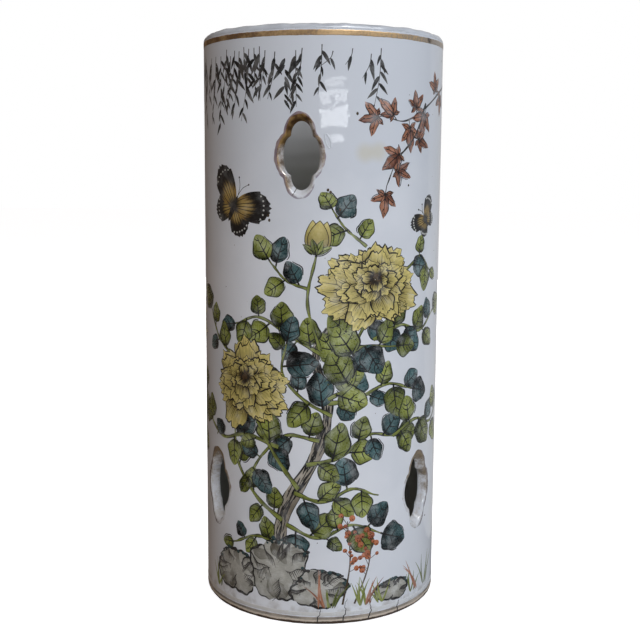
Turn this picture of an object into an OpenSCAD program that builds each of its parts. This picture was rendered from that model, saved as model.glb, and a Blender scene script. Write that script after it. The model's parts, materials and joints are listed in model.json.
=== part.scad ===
// Porcelain hat stand: an open tube with a recessed floor, pierced by six quatrefoil
// openings and finished with gilding. Two thrown sections are luted at the waist, a floor
// disc is luted into the lower one, and a turned foot and a rounded mouth close the ends.
// The origin is the centre of the foot's flat underside, +Z is up and -Y is the front.

/* [Tube] */
// Height from the foot to the top of the lip
height = 285; // [250:1:330]
// Outside diameter of the tube
diameter = 121; // [110:1:150]
// Thickness of the thrown wall
wall = 5; // [4:0.1:7]
// Height of the luted joint between the two thrown sections
joint_height = 143; // [110:1:180]

/* [Mouth] */
// Height of the mouth rim
mouth_height = 8; // [7:0.1:14]
// Extra thickness of the mouth rim, on its inside
mouth_swell = 1; // [0:0.1:2]
// Radius of the lip's outer edge
lip_outer_radius = 3; // [1:0.1:3]
// Radius of the lip's inner edge
lip_inner_radius = 2; // [1:0.1:2.5]

/* [Foot] */
// Height of the unglazed foot ring
foot_height = 4; // [3:0.1:8]
// How far the foot ring reaches in under the floor disc
foot_ledge = 2.5; // [1:0.1:6]
// Chamfer on the foot ring's outer edge
foot_chamfer = 1.4; // [0.5:0.1:2.5]
// Thickness of the floor disc
floor_thickness = 6; // [3:0.1:10]
// Leg of the slip fillet between the floor and the wall
floor_fillet_leg = 4; // [2:0.1:8]

/* [Luting] */
// Thickness of the slip between the two thrown sections
slip_thickness = 0.8; // [0.4:0.1:1.5]
// Height of the bead of slip pressed over the joint, inside the tube
bead_height = 9; // [5:0.1:14]
// How far the bead stands out from the inside of the wall
bead_depth = 1.5; // [0.6:0.1:2.5]

/* [Openings] */
// Turn of the upper tier from the front, to the viewer's right; its three openings are evenly spaced
upper_tier_turn = -7.5; // [-30:0.5:30]
// Angle between the two lower openings at the front; the third is at the back
lower_pair_spread = 113; // [90:1:150]
// Height of a quatrefoil opening at the outside of the wall
opening_height = 36; // [30:0.1:46]
// Width of a quatrefoil opening at the outside of the wall
opening_width = 21.5; // [18:0.1:30]
// Distance between the cusps on either side of an upright lobe
cusp_spacing_across = 13.25; // [9:0.05:16]
// Distance between the cusps above and below a side lobe
cusp_spacing_upright = 17.4; // [13:0.1:22]
// How far the bevelled edge draws in at the lobe tips, through the wall
opening_bevel = 2.8; // [1:0.1:5]
// Distance from the top of the lip down to the centres of the upper openings
upper_opening_drop = 59.5; // [45:0.1:80]
// Height of the centres of the lower openings
lower_opening_rise = 61; // [45:0.1:80]

/* [Gilding] */
// Thickness of the gilding
gilt_thickness = 0.2; // [0.1:0.05:0.4]
// Width of the gilt band under the lip
mouth_band_width = 2.8; // [1:0.1:3.5]
// Bare glaze between the lip's curve and that band
mouth_band_gap = 0.4; // [0:0.1:1.5]
// Width of the gilt band above the foot
foot_band_width = 2.2; // [1:0.1:5]
// Bare glaze between the foot ring and that band
foot_band_gap = 0.4; // [0:0.1:3]

/* [Hidden] */
$fn = 96;
// Chords along one lobe of an opening's outline
lobe_steps = 14;
// Shape of a lobe: 1 is half an ellipse, and more draws its flanks in
upright_lobe_slimness = 1;
side_lobe_slimness = 1.65;
// How far a cutter reaches past the surface it cuts
reach = 3;

outer_r = diameter / 2;
inner_r = outer_r - wall;
foot_r = inner_r - foot_ledge;
mouth_r = inner_r - mouth_swell;
mouth_base = height - mouth_height;
mouth_wall = outer_r - mouth_r;
lip_in = min(lip_inner_radius, mouth_wall / 2);
lip_out = min(lip_outer_radius, mouth_wall - lip_in);
floor_top = foot_height + floor_thickness;
joint_low = joint_height - slip_thickness / 2;
joint_high = joint_height + slip_thickness / 2;
upper_turns = [for (i = [0:2]) upper_tier_turn + i * 120];
lower_turns = [lower_pair_spread / 2, 180, -lower_pair_spread / 2];
upper_opening_z = height - upper_opening_drop;
lower_opening_z = lower_opening_rise;
// Scale of an opening's outline at the inside of the wall
bevel_scale = 1 - 2 * opening_bevel / opening_height;

// Radius of the arc that has this chord and this rise over it
function arc_radius(chord, rise) = (chord * chord / 4 + rise * rise) / (2 * rise);

// One lobe of an outline: it starts at its chord's left end, swells by its rise and stops short
// of the right end. The chord lies at a distance from the middle and is turned round it.
function lobe(chord, rise, slimness, distance, turn) =
  [for (i = [0:lobe_steps - 1])
    let (a = 180 * i / lobe_steps - 90,
         x = chord / 2 * sin(a),
         y = distance + rise * pow(cos(a), slimness))
    [x * cos(turn) - y * sin(turn), x * sin(turn) + y * cos(turn)]];

// Outline of an opening, drawn in by inset all round: two upright lobes and two side lobes
module quatrefoil(inset = 0) {
  across = cusp_spacing_across - 2 * inset;
  upright = cusp_spacing_upright - 2 * inset;
  upright_rise = (opening_height - cusp_spacing_upright) / 2;
  side_rise = (opening_width - cusp_spacing_across) / 2;
  polygon(concat(
    lobe(across, upright_rise, upright_lobe_slimness, upright / 2, 0),
    lobe(upright, side_rise, side_lobe_slimness, across / 2, -90),
    lobe(across, upright_rise, upright_lobe_slimness, upright / 2, 180),
    lobe(upright, side_rise, side_lobe_slimness, across / 2, 90)));
}

// Bevelled block that pierces the wall at the front, narrowing towards the tube's axis
module opening_block(inset = 0) {
  taper = (1 - bevel_scale) / wall;
  outside = 1 + taper * reach;
  inside = bevel_scale - taper * reach;
  translate([0, -outer_r - reach, 0])
    rotate([-90, 0, 0])
      linear_extrude(height = wall + 2 * reach, scale = inside / outside)
        scale(outside) quatrefoil(inset);
}

// Takes its children from the front to an opening's place
module at_opening(z, turn) {
  translate([0, 0, z]) rotate([0, 0, turn]) children();
}

module tube(r_out, r_in, z_low, z_high) {
  translate([0, 0, z_low]) difference() {
    cylinder(r = r_out, h = z_high - z_low);
    translate([0, 0, -reach]) cylinder(r = r_in, h = z_high - z_low + 2 * reach);
  }
}

module pierced_wall(z_low, z_high, opening_z, turns) {
  difference() {
    tube(outer_r, inner_r, z_low, z_high);
    for (turn = turns) at_opening(opening_z, turn) opening_block();
  }
}

// Gilding on the bevelled edge of one opening, flush with both faces of the wall
module opening_gilding(opening_z, turn) {
  color("goldenrod") intersection() {
    tube(outer_r, inner_r, opening_z - opening_height, opening_z + opening_height);
    at_opening(opening_z, turn) difference() {
      opening_block();
      opening_block(gilt_thickness);
    }
  }
}

module foot_ring() {
  color("tan") rotate_extrude()
    polygon([
      [foot_r, 0],
      [outer_r - foot_chamfer, 0],
      [outer_r, foot_chamfer],
      [outer_r, foot_height],
      [foot_r, foot_height],
    ]);
}

module floor_disc() {
  color("whitesmoke") translate([0, 0, foot_height]) cylinder(r = inner_r, h = floor_thickness);
}

module floor_fillet() {
  color("whitesmoke") rotate_extrude() difference() {
    translate([inner_r - floor_fillet_leg, floor_top]) square(floor_fillet_leg);
    translate([inner_r - floor_fillet_leg, floor_top + floor_fillet_leg]) circle(floor_fillet_leg);
  }
}

module lower_wall() {
  color("white") pierced_wall(foot_height, joint_low, lower_opening_z, lower_turns);
}

// Slip in the joint, with a low bead that is part of a circle in section over it, inside
module waist_luting() {
  bead_r = arc_radius(bead_height, bead_depth);
  color("whitesmoke") rotate_extrude() {
    translate([inner_r, joint_low]) square([wall, slip_thickness]);
    intersection() {
      translate([inner_r - bead_depth + bead_r, joint_height]) circle(bead_r);
      translate([inner_r - bead_depth, joint_height - bead_height / 2]) square([bead_depth, bead_height]);
    }
  }
}

module upper_wall() {
  color("white") pierced_wall(joint_high, mouth_base, upper_opening_z, upper_turns);
}

// What rounding takes off a corner that points to +X and +Y, drawn from the centre of its arc
module corner_cut(r) {
  difference() {
    square(r + reach);
    circle(r);
  }
}

// Thickened rim whose two top edges are rounded into a lip
module mouth_rim() {
  color("white") rotate_extrude() difference() {
    translate([mouth_r, mouth_base]) square([mouth_wall, mouth_height]);
    translate([outer_r - lip_out, height - lip_out]) corner_cut(lip_out);
    translate([mouth_r + lip_in, height - lip_in]) mirror([1, 0]) corner_cut(lip_in);
  }
}

module gilt_band(z_low, band_width) {
  color("goldenrod") tube(outer_r + gilt_thickness, outer_r, z_low, z_low + band_width);
}

module mouth_gilt_band() {
  gilt_band(height - lip_out - mouth_band_gap - mouth_band_width, mouth_band_width);
}

module foot_gilt_band() {
  gilt_band(foot_height + foot_band_gap, foot_band_width);
}

module upper_opening_gilding(index) {
  opening_gilding(upper_opening_z, upper_turns[index]);
}

module lower_opening_gilding(index) {
  opening_gilding(lower_opening_z, lower_turns[index]);
}

foot_ring();
floor_disc();
floor_fillet();
lower_wall();
waist_luting();
upper_wall();
mouth_rim();
mouth_gilt_band();
foot_gilt_band();
for (i = [0:len(upper_turns) - 1])
  upper_opening_gilding(i);
for (i = [0:len(lower_turns) - 1])
  lower_opening_gilding(i);
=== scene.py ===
"""Looks of a porcelain hat stand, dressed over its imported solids.

Lengths are in millimetres and become metres where a mesh is made. A place on the wall is given on
the unrolled scroll: arc length from the front, to the viewer's right, and height above the table.
"""

import json
import logging
import math
from dataclasses import dataclass, field
from enum import Enum
from typing import Any, Callable, Optional, Sequence, Union

import bpy
import numpy as np
from mathutils import Matrix, Vector

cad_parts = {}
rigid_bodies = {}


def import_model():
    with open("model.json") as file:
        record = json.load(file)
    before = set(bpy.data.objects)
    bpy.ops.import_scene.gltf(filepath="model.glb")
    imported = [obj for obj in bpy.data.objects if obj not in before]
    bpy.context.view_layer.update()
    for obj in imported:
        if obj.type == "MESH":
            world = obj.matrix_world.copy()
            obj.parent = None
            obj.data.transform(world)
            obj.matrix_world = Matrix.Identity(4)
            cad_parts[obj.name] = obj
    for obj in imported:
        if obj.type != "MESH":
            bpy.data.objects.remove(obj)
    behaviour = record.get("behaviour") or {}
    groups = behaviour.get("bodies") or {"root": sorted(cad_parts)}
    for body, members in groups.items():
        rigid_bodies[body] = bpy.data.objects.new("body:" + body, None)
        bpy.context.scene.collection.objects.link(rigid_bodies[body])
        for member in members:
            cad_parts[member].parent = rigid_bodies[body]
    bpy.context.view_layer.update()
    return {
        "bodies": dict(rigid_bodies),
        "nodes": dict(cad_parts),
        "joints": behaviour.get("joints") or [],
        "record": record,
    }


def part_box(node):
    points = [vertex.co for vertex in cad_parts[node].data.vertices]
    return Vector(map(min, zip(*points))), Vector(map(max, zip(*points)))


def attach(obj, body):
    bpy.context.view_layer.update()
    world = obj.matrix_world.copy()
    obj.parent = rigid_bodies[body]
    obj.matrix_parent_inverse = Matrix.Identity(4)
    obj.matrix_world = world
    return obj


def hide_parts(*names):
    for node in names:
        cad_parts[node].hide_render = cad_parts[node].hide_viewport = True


Array = np.ndarray
Numbers = Union[float, Array]
Colour = tuple[float, float, float]
Point = tuple[float, float, float]
Span = tuple[float, float]
Place = Union[tuple[float, float], Array]
Way = Sequence[Place]
Wobble = Callable[[Array, Array], Array]
Material = bpy.types.Material
Object = bpy.types.Object

LOG = logging.getLogger("hat_stand")
MM = 0.001
BODY = "root"

# Steps to the millimetre that points are rounded to before they are welded
WELD_STEPS = 1e4


def linear(*display: float) -> Colour:
    """A display colour as the linear light that shaders work in.

    Args:
        display: Red, green and blue, 0 to 255.

    Returns:
        The three linear values, 0 to 1.
    """
    shown = np.array(display) / 255
    low = shown / 12.92
    high = ((shown + 0.055) / 1.055) ** 2.4
    return tuple(float(v) for v in np.where(shown <= 0.04045, low, high))


def ease(low: float, high: float, x: Array) -> Array:
    """Values taken through a smooth step, a cubic that is 0 at low and 1 at high."""
    t = np.clip((x - low) / (high - low), 0, 1)
    return t * t * (3 - 2 * t)


def curve(points: Way, count: int) -> Array:
    """Smooth path through points: each stretch is the cubic whose slopes join its neighbours.

    Args:
        points: Places on the path, in order.
        count: Number of samples.

    Returns:
        Samples, evenly spaced in the stretches' parameter, shape (count, 2).
    """
    p = np.asarray(points, float)
    ends = np.vstack([2 * p[0] - p[1], p, 2 * p[-1] - p[-2]])
    t = np.linspace(0, len(p) - 1, count)
    i = np.minimum(t.astype(int), len(p) - 2)
    f = (t - i)[:, None]
    a, b, c, d = ends[i], ends[i + 1], ends[i + 2], ends[i + 3]
    bend = 2 * a - 5 * b + 4 * c - d
    twist = 3 * (b - c) + d - a
    return b + 0.5 * f * (c - a + f * (bend + f * twist))


def sideways(path: Array) -> Array:
    """Unit vectors to the left of a path, at each of its samples.

    Args:
        path: Samples, shape (count, 2).

    Returns:
        Vectors, shape (count, 2).
    """
    run = np.gradient(path, axis=0)
    run /= np.maximum(np.linalg.norm(run, axis=1, keepdims=True), 1e-9)
    return np.stack([-run[:, 1], run[:, 0]], axis=1)


def finer(grid: Array) -> Array:
    """A grid with means put between its neighbours along both sides.

    Args:
        grid: Values, shape (rows, columns, parts).

    Returns:
        Values, shape (2 rows - 1, 2 columns - 1, parts).
    """
    rows, columns, parts = grid.shape
    made = np.empty((2 * rows - 1, 2 * columns - 1, parts))
    made[::2, ::2] = grid
    made[1::2, ::2] = (grid[:-1] + grid[1:]) / 2
    made[:, 1::2] = (made[:, :-2:2] + made[:, 2::2]) / 2
    return made


def net(rows: int, columns: int) -> tuple[Array, Array]:
    """Places on a dab: 0 to 1 along it as a column, and -1 to 1 across it as a row."""
    return np.linspace(0, 1, rows)[:, None], np.linspace(-1, 1, columns)[None, :]


def heading(angle: float) -> Array:
    """Unit vector at an angle in degrees from the viewer's right, turning upwards."""
    return np.array([math.cos(math.radians(angle)), math.sin(math.radians(angle))])


def spread(angle: float, along: Array, across: Array) -> Array:
    """Places reached by going along a direction in degrees, and then across to its left."""
    ahead = heading(angle)
    return along[..., None] * ahead + across[..., None] * np.array([-ahead[1], ahead[0]])


def travelled(path: Array) -> Array:
    """Length of a path up to each of its samples, from 0 at the first."""
    return np.r_[0, np.cumsum(np.linalg.norm(np.diff(path, axis=0), axis=1))]


def full_turn(count: int) -> Array:
    """Evenly spaced angles round the axis, from the front."""
    return np.arange(count) * 2 * np.pi / count


def around(radius: Numbers, angle: Numbers, z: Numbers) -> Array:
    """Points round the axis at radii, angles from the front and heights, on the last axis x, y and z."""
    return np.stack(np.broadcast_arrays(radius * np.sin(angle), -radius * np.cos(angle), z), axis=-1)


# Meshes


@dataclass
class MeshDraft:
    """Grids of points that are gathered into one mesh of triangles."""

    points: list[Array] = field(default_factory=list)
    faces: list[Array] = field(default_factory=list)
    colours: list[Array] = field(default_factory=list)
    spans: list[Array] = field(default_factory=list)
    count: int = 0

    def grid(
        self, points: Array, wrap: bool = False, flip: bool = False, keep: Optional[Array] = None,
        colours: Optional[Array] = None, spans: Optional[Array] = None,
    ) -> None:
        """Adds a grid; its rows rise and its columns run to the right as seen from outside.

        Args:
            points: Millimetres, shape (rows, columns, 3).
            wrap: Whether the last column joins the first.
            flip: Whether the outside is on the other side.
            keep: Cells to keep, shape (rows - 1, cells across), or None for all.
            colours: Linear colour at each point, or None.
            spans: Map place of each point, shape (rows, columns, 2), or None.
        """
        rows, columns = points.shape[:2]
        index = np.arange(rows * columns).reshape(rows, columns) + self.count
        if wrap:
            index = np.concatenate([index, index[:, :1]], axis=1)
        a, b, c, d = index[:-1, :-1], index[:-1, 1:], index[1:, 1:], index[1:, :-1]
        corners = np.stack([a, b, c, a, c, d], axis=-1)
        if flip:
            corners = corners[..., ::-1]
        if keep is not None:
            corners = corners[keep]
        self.points.append(points.reshape(-1, 3))
        self.faces.append(corners.reshape(-1, 3))
        if colours is not None:
            self.colours.append(colours.reshape(-1, 3))
        if spans is not None:
            self.spans.append(spans.reshape(-1, 2))
        self.count += rows * columns

    def build(self, name: str, material: Material, crease: float = 42.0) -> Object:
        """Welds equal points, drops empty triangles and makes the object.

        Args:
            name: Name of the piece.
            material: Its finish.
            crease: Angle in degrees past which an edge is sharp.

        Returns:
            The new object, linked to the scene.
        """
        points = np.concatenate(self.points)
        faces = np.concatenate(self.faces)
        if not self.colours:
            keys = np.round(points * WELD_STEPS).astype(np.int64)
            _, first, place = np.unique(keys, axis=0, return_index=True, return_inverse=True)
            points = points[first]
            faces = place.reshape(-1)[faces]
        whole = (faces[:, 0] != faces[:, 1]) & (faces[:, 1] != faces[:, 2]) & (faces[:, 2] != faces[:, 0])
        faces = faces[whole]
        used, place = np.unique(faces, return_inverse=True)
        points = points[used]
        faces = place.reshape(-1, 3)
        mesh = bpy.data.meshes.new(name)
        mesh.vertices.add(len(points))
        mesh.vertices.foreach_set("co", (points * MM).astype(np.float32).ravel())
        mesh.loops.add(faces.size)
        mesh.loops.foreach_set("vertex_index", faces.ravel().astype(np.int32))
        mesh.polygons.add(len(faces))
        mesh.polygons.foreach_set("loop_start", np.arange(0, faces.size, 3, dtype=np.int32))
        mesh.polygons.foreach_set("use_smooth", np.ones(len(faces), bool))
        if self.colours:
            paint = np.concatenate(self.colours)[used]
            layer = mesh.color_attributes.new("pigment", "FLOAT_COLOR", "POINT")
            layer.data.foreach_set("color", np.c_[paint, np.ones(len(paint))].astype(np.float32).ravel())
        if self.spans:
            layer = mesh.uv_layers.new(name="brush")
            spans = np.concatenate(self.spans)[used][faces.ravel()]
            layer.data.foreach_set("uv", spans.astype(np.float32).ravel())
        mesh.update(calc_edges=True)
        mesh.validate()
        mesh.set_sharp_from_angle(angle=math.radians(crease))
        mesh.materials.append(material)
        made = bpy.data.objects.new(name, mesh)
        bpy.context.scene.collection.objects.link(made)
        return made


class Slot(Enum):
    """The record's material slots."""

    GLAZE = "glaze"
    BISCUIT = "biscuit"
    GILT = "gilt"
    ENAMEL = "enamel"


def dress(piece: Object, slot: Slot, *nodes: str) -> Object:
    """Seats a piece on the stand, in the place of the solids that it stands for.

    Args:
        piece: The piece.
        slot: Its material slot; not used.
        nodes: Solids that it replaces.

    Returns:
        The piece.
    """
    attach(piece, BODY)
    if nodes:
        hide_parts(*nodes)
    LOG.info("%s: %d triangles", piece.name, len(piece.data.polygons))
    return piece


def second_finish(piece: Object, material: Material, chosen: Callable[[Array], Array]) -> None:
    """Gives some faces of a piece another finish.

    Args:
        piece: The piece.
        material: The other finish.
        chosen: Says which faces have it, by their centres in millimetres, shape (count, 3).
    """
    piece.data.materials.append(material)
    centres = np.empty(len(piece.data.polygons) * 3, np.float32)
    piece.data.polygons.foreach_get("center", centres)
    picked = chosen(centres.reshape(-1, 3) / MM)
    piece.data.polygons.foreach_set("material_index", picked.astype(np.int32))


# Shader maths


@dataclass(frozen=True)
class Socket:
    """A shader value or colour that takes part in Python expressions."""

    shader: "Shader"
    output: bpy.types.NodeSocket

    def _math(self, operation: str, first: Any, second: Any) -> "Socket":
        """Adds a Math node on two values."""
        return self.shader.node("ShaderNodeMath", {"operation": operation}, {0: first, 1: second})["Value"]

    def __add__(self, other: Any) -> "Socket":
        """Sum."""
        return self._math("ADD", self, other)

    __radd__ = __add__

    def __sub__(self, other: Any) -> "Socket":
        """Difference."""
        return self._math("SUBTRACT", self, other)

    def __rsub__(self, other: Any) -> "Socket":
        """Difference, from a number."""
        return self._math("SUBTRACT", other, self)

    def __mul__(self, other: Any) -> "Socket":
        """Product."""
        return self._math("MULTIPLY", self, other)

    __rmul__ = __mul__

    def step(self, low: float, high: float) -> "Socket":
        """Smooth step from 0 at low to 1 at high."""
        values = {"Value": self, "From Min": low, "From Max": high}
        return self.shader.node("ShaderNodeMapRange", {"interpolation_type": "SMOOTHSTEP"}, values)["Result"]


@dataclass(frozen=True)
class Outputs:
    """Output sockets of a node, by name."""

    shader: "Shader"
    node: bpy.types.Node

    def __getitem__(self, name: Union[str, int]) -> Socket:
        """The output of that name or number."""
        return Socket(self.shader, self.node.outputs[name])


class Shader:
    """Node tree of a material or a world, round the node that it ends in."""

    def __init__(self, name: str, world: bool = False, **constants: Any) -> None:
        """Starts a material or a world.

        Args:
            name: Its name.
            world: Whether it is a world.
            constants: Values of the last node's sockets, with _ for a space.
        """
        self.material = bpy.data.worlds.new(name) if world else bpy.data.materials.new(name)
        self.material.use_nodes = True
        self.tree = self.material.node_tree
        self.surface = self.tree.nodes["Background" if world else "Principled BSDF"]
        for socket, value in constants.items():
            self.surface.inputs[socket.replace("_", " ")].default_value = value

    def node(self, kind: str, settings: dict[str, Any], values: dict[Union[str, int], Any]) -> Outputs:
        """Adds a node.

        Args:
            kind: The node's type.
            settings: Its properties.
            values: Numbers, colours or links of its sockets.

        Returns:
            Its outputs.
        """
        made = self.tree.nodes.new(kind)
        for key, value in settings.items():
            setattr(made, key, value)
        for key, value in values.items():
            self.feed(made.inputs[key], value)
        return Outputs(self, made)

    def feed(self, target: bpy.types.NodeSocket, value: Any) -> None:
        """Links a socket, or sets its value.

        Args:
            target: The input socket.
            value: A Socket, a number or a colour.
        """
        if isinstance(value, Socket):
            self.tree.links.new(value.output, target)
        elif isinstance(value, tuple) and len(target.default_value) == 4:
            target.default_value = (*value, 1)
        else:
            target.default_value = value

    def set(self, **inputs: Any) -> None:
        """Feeds the last node's sockets, with _ for a space."""
        for socket, value in inputs.items():
            self.feed(self.surface.inputs[socket.replace("_", " ")], value)

    def place(self) -> Socket:
        """Object coordinates, in metres."""
        return self.node("ShaderNodeTexCoord", {}, {})["Object"]

    def along(self, axis: str) -> Socket:
        """Distance along an axis, in millimetres; along Z it is the height above the table."""
        return self.node("ShaderNodeSeparateXYZ", {}, {"Vector": self.place()})[axis] * (1 / MM)

    def near(self, point: Sequence[float], low: float, high: float) -> Socket:
        """Nearness to a point: 1 up to one distance from it, falling to 0 at another.

        Args:
            point: The point, in millimetres.
            low: The first distance.
            high: The second distance.

        Returns:
            The nearness.
        """
        ends = {0: self.place(), 1: tuple(float(v) * MM for v in point)}
        away = self.node("ShaderNodeVectorMath", {"operation": "DISTANCE"}, ends)["Value"]
        return 1 - (away * (1 / MM)).step(low, high)

    def noise(self, size: float, detail: float = 3.0) -> Socket:
        """Fractal noise from 0 to 1, by the size of its largest lumps in millimetres and its octaves."""
        values = {"Vector": self.place(), "Scale": 1 / (size * MM), "Detail": detail}
        return self.node("ShaderNodeTexNoise", {}, values)["Fac"]

    def mix(self, share: Any, first: Any, second: Any, blend: str = "MIX") -> Socket:
        """Mixes two colours by the share of the second, in a way of mixing."""
        settings = {"data_type": "RGBA", "blend_type": blend, "clamp_factor": True}
        return self.node("ShaderNodeMix", settings, {0: share, 6: first, 7: second})[2]

    def bump(self, height: Socket, depth: float) -> Socket:
        """Normal of a surface raised by a height, of which 1 stands for a depth in millimetres."""
        values = {"Height": height, "Distance": depth * MM, "Strength": 1.0}
        return self.node("ShaderNodeBump", {}, values)["Normal"]


# Finishes


@dataclass(frozen=True)
class GlazeFinish:
    """Glossy blue-white glaze, faint orange peel, pinholes, soiling by the foot; painted shade up high and
    inside.
    """

    name: str = "glaze"
    pale: Colour = linear(236, 238, 242)
    pooled: Colour = linear(221, 225, 231)
    pinhole: Colour = linear(128, 112, 92)
    darker_tone: Colour = linear(150, 138, 120)
    soil_and_shade_base: float = 3.5
    soil_and_shade_top: float = 15.0
    evenness: float = 0.0
    painted_shade_heights: Span = (175.0, 262.0)
    lump: float = 34.0
    peel: float = 5.0
    ripple: float = 17.0
    pinhole_gap: float = 9.0
    yellowed: Colour = linear(214, 206, 178)
    stains: Sequence[Point] = ((22.0, -55.9, 227.0), (28.0, -53.2, 227.6))

    def material(self) -> Material:
        """The glaze's material.

        Returns:
            The new material.
        """
        shader = Shader(self.name, IOR=1.52)
        cloud = shader.noise(self.lump, 4)
        # Pooled glaze at random, plus painted shade that darkens the glaze towards the top
        deep = cloud.step(0.32, 0.7) * 0.6 + shader.along("Z").step(*self.painted_shade_heights)
        body = shader.mix(deep, self.pale, self.pooled)
        cells = {"Vector": shader.place(), "Scale": 1 / (self.pinhole_gap * MM), "Randomness": 1.0}
        spot = shader.node("ShaderNodeTexVoronoi", {}, cells)
        hole = 1 - spot["Distance"].step(0.012, 0.035)
        body = shader.mix(hole * 0.8, body, self.pinhole)
        # Darker below a height: soiled patches by the foot outside; inside the tube, made even, a painted
        # shade deep down
        low = 1 - shader.along("Z").step(self.soil_and_shade_base, self.soil_and_shade_top)
        patches = shader.noise(5.0, 5).step(0.42, 0.72) * 0.55
        soil_and_shade = low * (patches * (1 - self.evenness) + self.evenness)
        body = shader.mix(soil_and_shade, body, self.darker_tone)
        for stain in self.stains:
            body = shader.mix(shader.near(stain, 1.0, 6.5) * cloud.step(0.2, 0.6) * 0.5, body, self.yellowed)
        ripple = shader.noise(self.peel, 2) * 0.12 + shader.noise(self.ripple, 2) * 0.3
        rough = 0.012 + cloud * 0.014 + soil_and_shade * 0.25
        shader.set(Base_Color=body, Roughness=rough, Normal=shader.bump(ripple, 0.035))
        return shader.material


@dataclass(frozen=True)
class BiscuitFinish:
    """Unglazed foot in three uneven bands: an edge of stain and painted shadow, rubbed clay and a grey skin.
    """

    clay: Colour = linear(208, 194, 176)
    skin: Colour = linear(124, 117, 108)
    stain: Colour = linear(72, 56, 44)
    stain_and_shadow_ends: Span = (1.6, 2.0)
    skin_starts: Span = (2.5, 3.0)

    def material(self) -> Material:
        """The foot's material.

        Returns:
            The new material.
        """
        shader = Shader("biscuit")
        coarse = shader.noise(9.0, 5)
        fine = shader.noise(0.9, 3)
        level = shader.along("Z") + (coarse - 0.5) * 1.5 + (fine - 0.5) * 0.6
        skin = shader.mix(coarse.step(0.4, 0.75) * 0.6, self.skin, self.clay)
        body = shader.mix(level.step(*self.skin_starts), self.clay, skin)
        # The bottom edge is darkened, partly as stain and partly as a painted contact shadow
        body = shader.mix(1 - level.step(*self.stain_and_shadow_ends), body, self.stain)
        shader.set(Base_Color=body, Roughness=0.6 + fine * 0.25, Normal=shader.bump(fine + coarse, 0.12))
        return shader.material


@dataclass(frozen=True)
class GiltFinish:
    """Brushed-on gold, rubbed thin so that the glaze shows through in places, and painted darker to the left
    as shade.
    """

    name: str = "gilt"
    gold: Colour = linear(214, 180, 134)
    shade: Colour = linear(126, 94, 62)
    bare: Colour = linear(146, 138, 128)
    wear: float = 0.1
    metal: float = 0.5
    fading: float = 0.28
    soot: Colour = linear(58, 48, 40)
    stain: Point = (51.9, -31.2, 280.9)

    def material(self) -> Material:
        """The gilt bands' material.

        Returns:
            The new material.
        """
        shader = Shader(self.name)
        coarse = shader.noise(11.0, 4)
        fine = shader.noise(1.1, 4)
        right = shader.along("X")
        worn = (coarse * 0.6 + fine * 0.5 + right.step(10, 50) * self.fading + self.wear).step(0.7, 0.94)
        # Painted shade: the band turns to its darker colour towards the left
        tint = (coarse * 0.6 + fine * 0.3 - right.step(-60, 10) * 0.14).step(0.24, 0.56)
        body = shader.mix(tint, self.gold, self.shade)
        body = shader.mix(worn * 0.85, body, self.bare)
        body = shader.mix(shader.near(self.stain, 0.8, 2.9) * fine.step(0.2, 0.5), body, self.soot)
        rough = 0.34 + fine * 0.2 - worn * 0.15
        metal = (1 - worn) * self.metal
        shader.set(Base_Color=body, Metallic=metal, Roughness=rough, Normal=shader.bump(fine, 0.02))
        return shader.material


@dataclass(frozen=True)
class GildedEdgeFinish:
    """Gilding on an opening's bevel; its pigment gives the gold left, partly painted shade, and a drawn line.
    """

    gold: Colour = linear(180, 144, 90)
    shade: Colour = linear(112, 82, 50)
    dull: Colour = linear(168, 153, 130)
    glaze: Colour = linear(224, 226, 230)
    darker_tone: Colour = linear(196, 190, 180)
    line: Colour = linear(140, 128, 143)
    dark_line: Colour = linear(62, 50, 52)
    split: Colour = linear(62, 56, 52)
    crack: Point = (-9.9, -57.5, 209.8)
    crack_lean: float = 29.0

    def material(self) -> Material:
        """The openings' material; the pigment's red is gold, green the line on the face, blue the dulling.

        Returns:
            The new material.
        """
        shader = Shader("gilded_edge", IOR=1.5)
        paint = shader.node("ShaderNodeAttribute", {"attribute_name": "pigment"}, {})["Color"]
        shares = shader.node("ShaderNodeSeparateColor", {}, {"Color": paint})
        fine = shader.noise(1.0, 4)
        coarse = shader.noise(4.0, 3)
        left = (shares["Red"] + (coarse - 0.5) * 0.4 + (fine - 0.5) * 0.14).step(0.26, 0.7)
        drawn = (shares["Green"] + (fine - 0.5) * 0.5 + (coarse - 0.5) * 0.3).step(0.3, 0.7)
        tint = shader.mix(coarse.step(0.4, 0.66), self.gold, self.shade)
        tint = shader.mix(shares["Blue"], tint, self.dull)
        # Bare glaze with soiled patches in the darker tone
        bare = shader.mix((coarse * 0.6 + fine * 0.4).step(0.42, 0.66) * 0.6, self.glaze, self.darker_tone)
        body = shader.mix(left, bare, tint)
        ink = shader.mix(shares["Blue"], self.line, self.dark_line)
        body = shader.mix(drawn * 0.7, body, ink)
        lean = math.radians(self.crack_lean)
        over = (math.cos(lean), 0.0, -math.sin(lean))
        ends = {0: shader.place(), 1: over}
        aside = shader.node("ShaderNodeVectorMath", {"operation": "DOT_PRODUCT"}, ends)["Value"]
        off = aside * (1 / MM) - float(np.dot(over, self.crack)) + (coarse - 0.5) * 0.8
        cracked = (1 - (off * off).step(0.012, 0.07)) * shader.near(self.crack, 2.9, 3.6)
        body = shader.mix(cracked * 0.9, body, self.split)
        metal = left * (1 - drawn) * 0.6
        rough = 0.06 + left * 0.26
        shader.set(Base_Color=body, Metallic=metal, Roughness=rough, Normal=shader.bump(fine, 0.03))
        return shader.material


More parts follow.
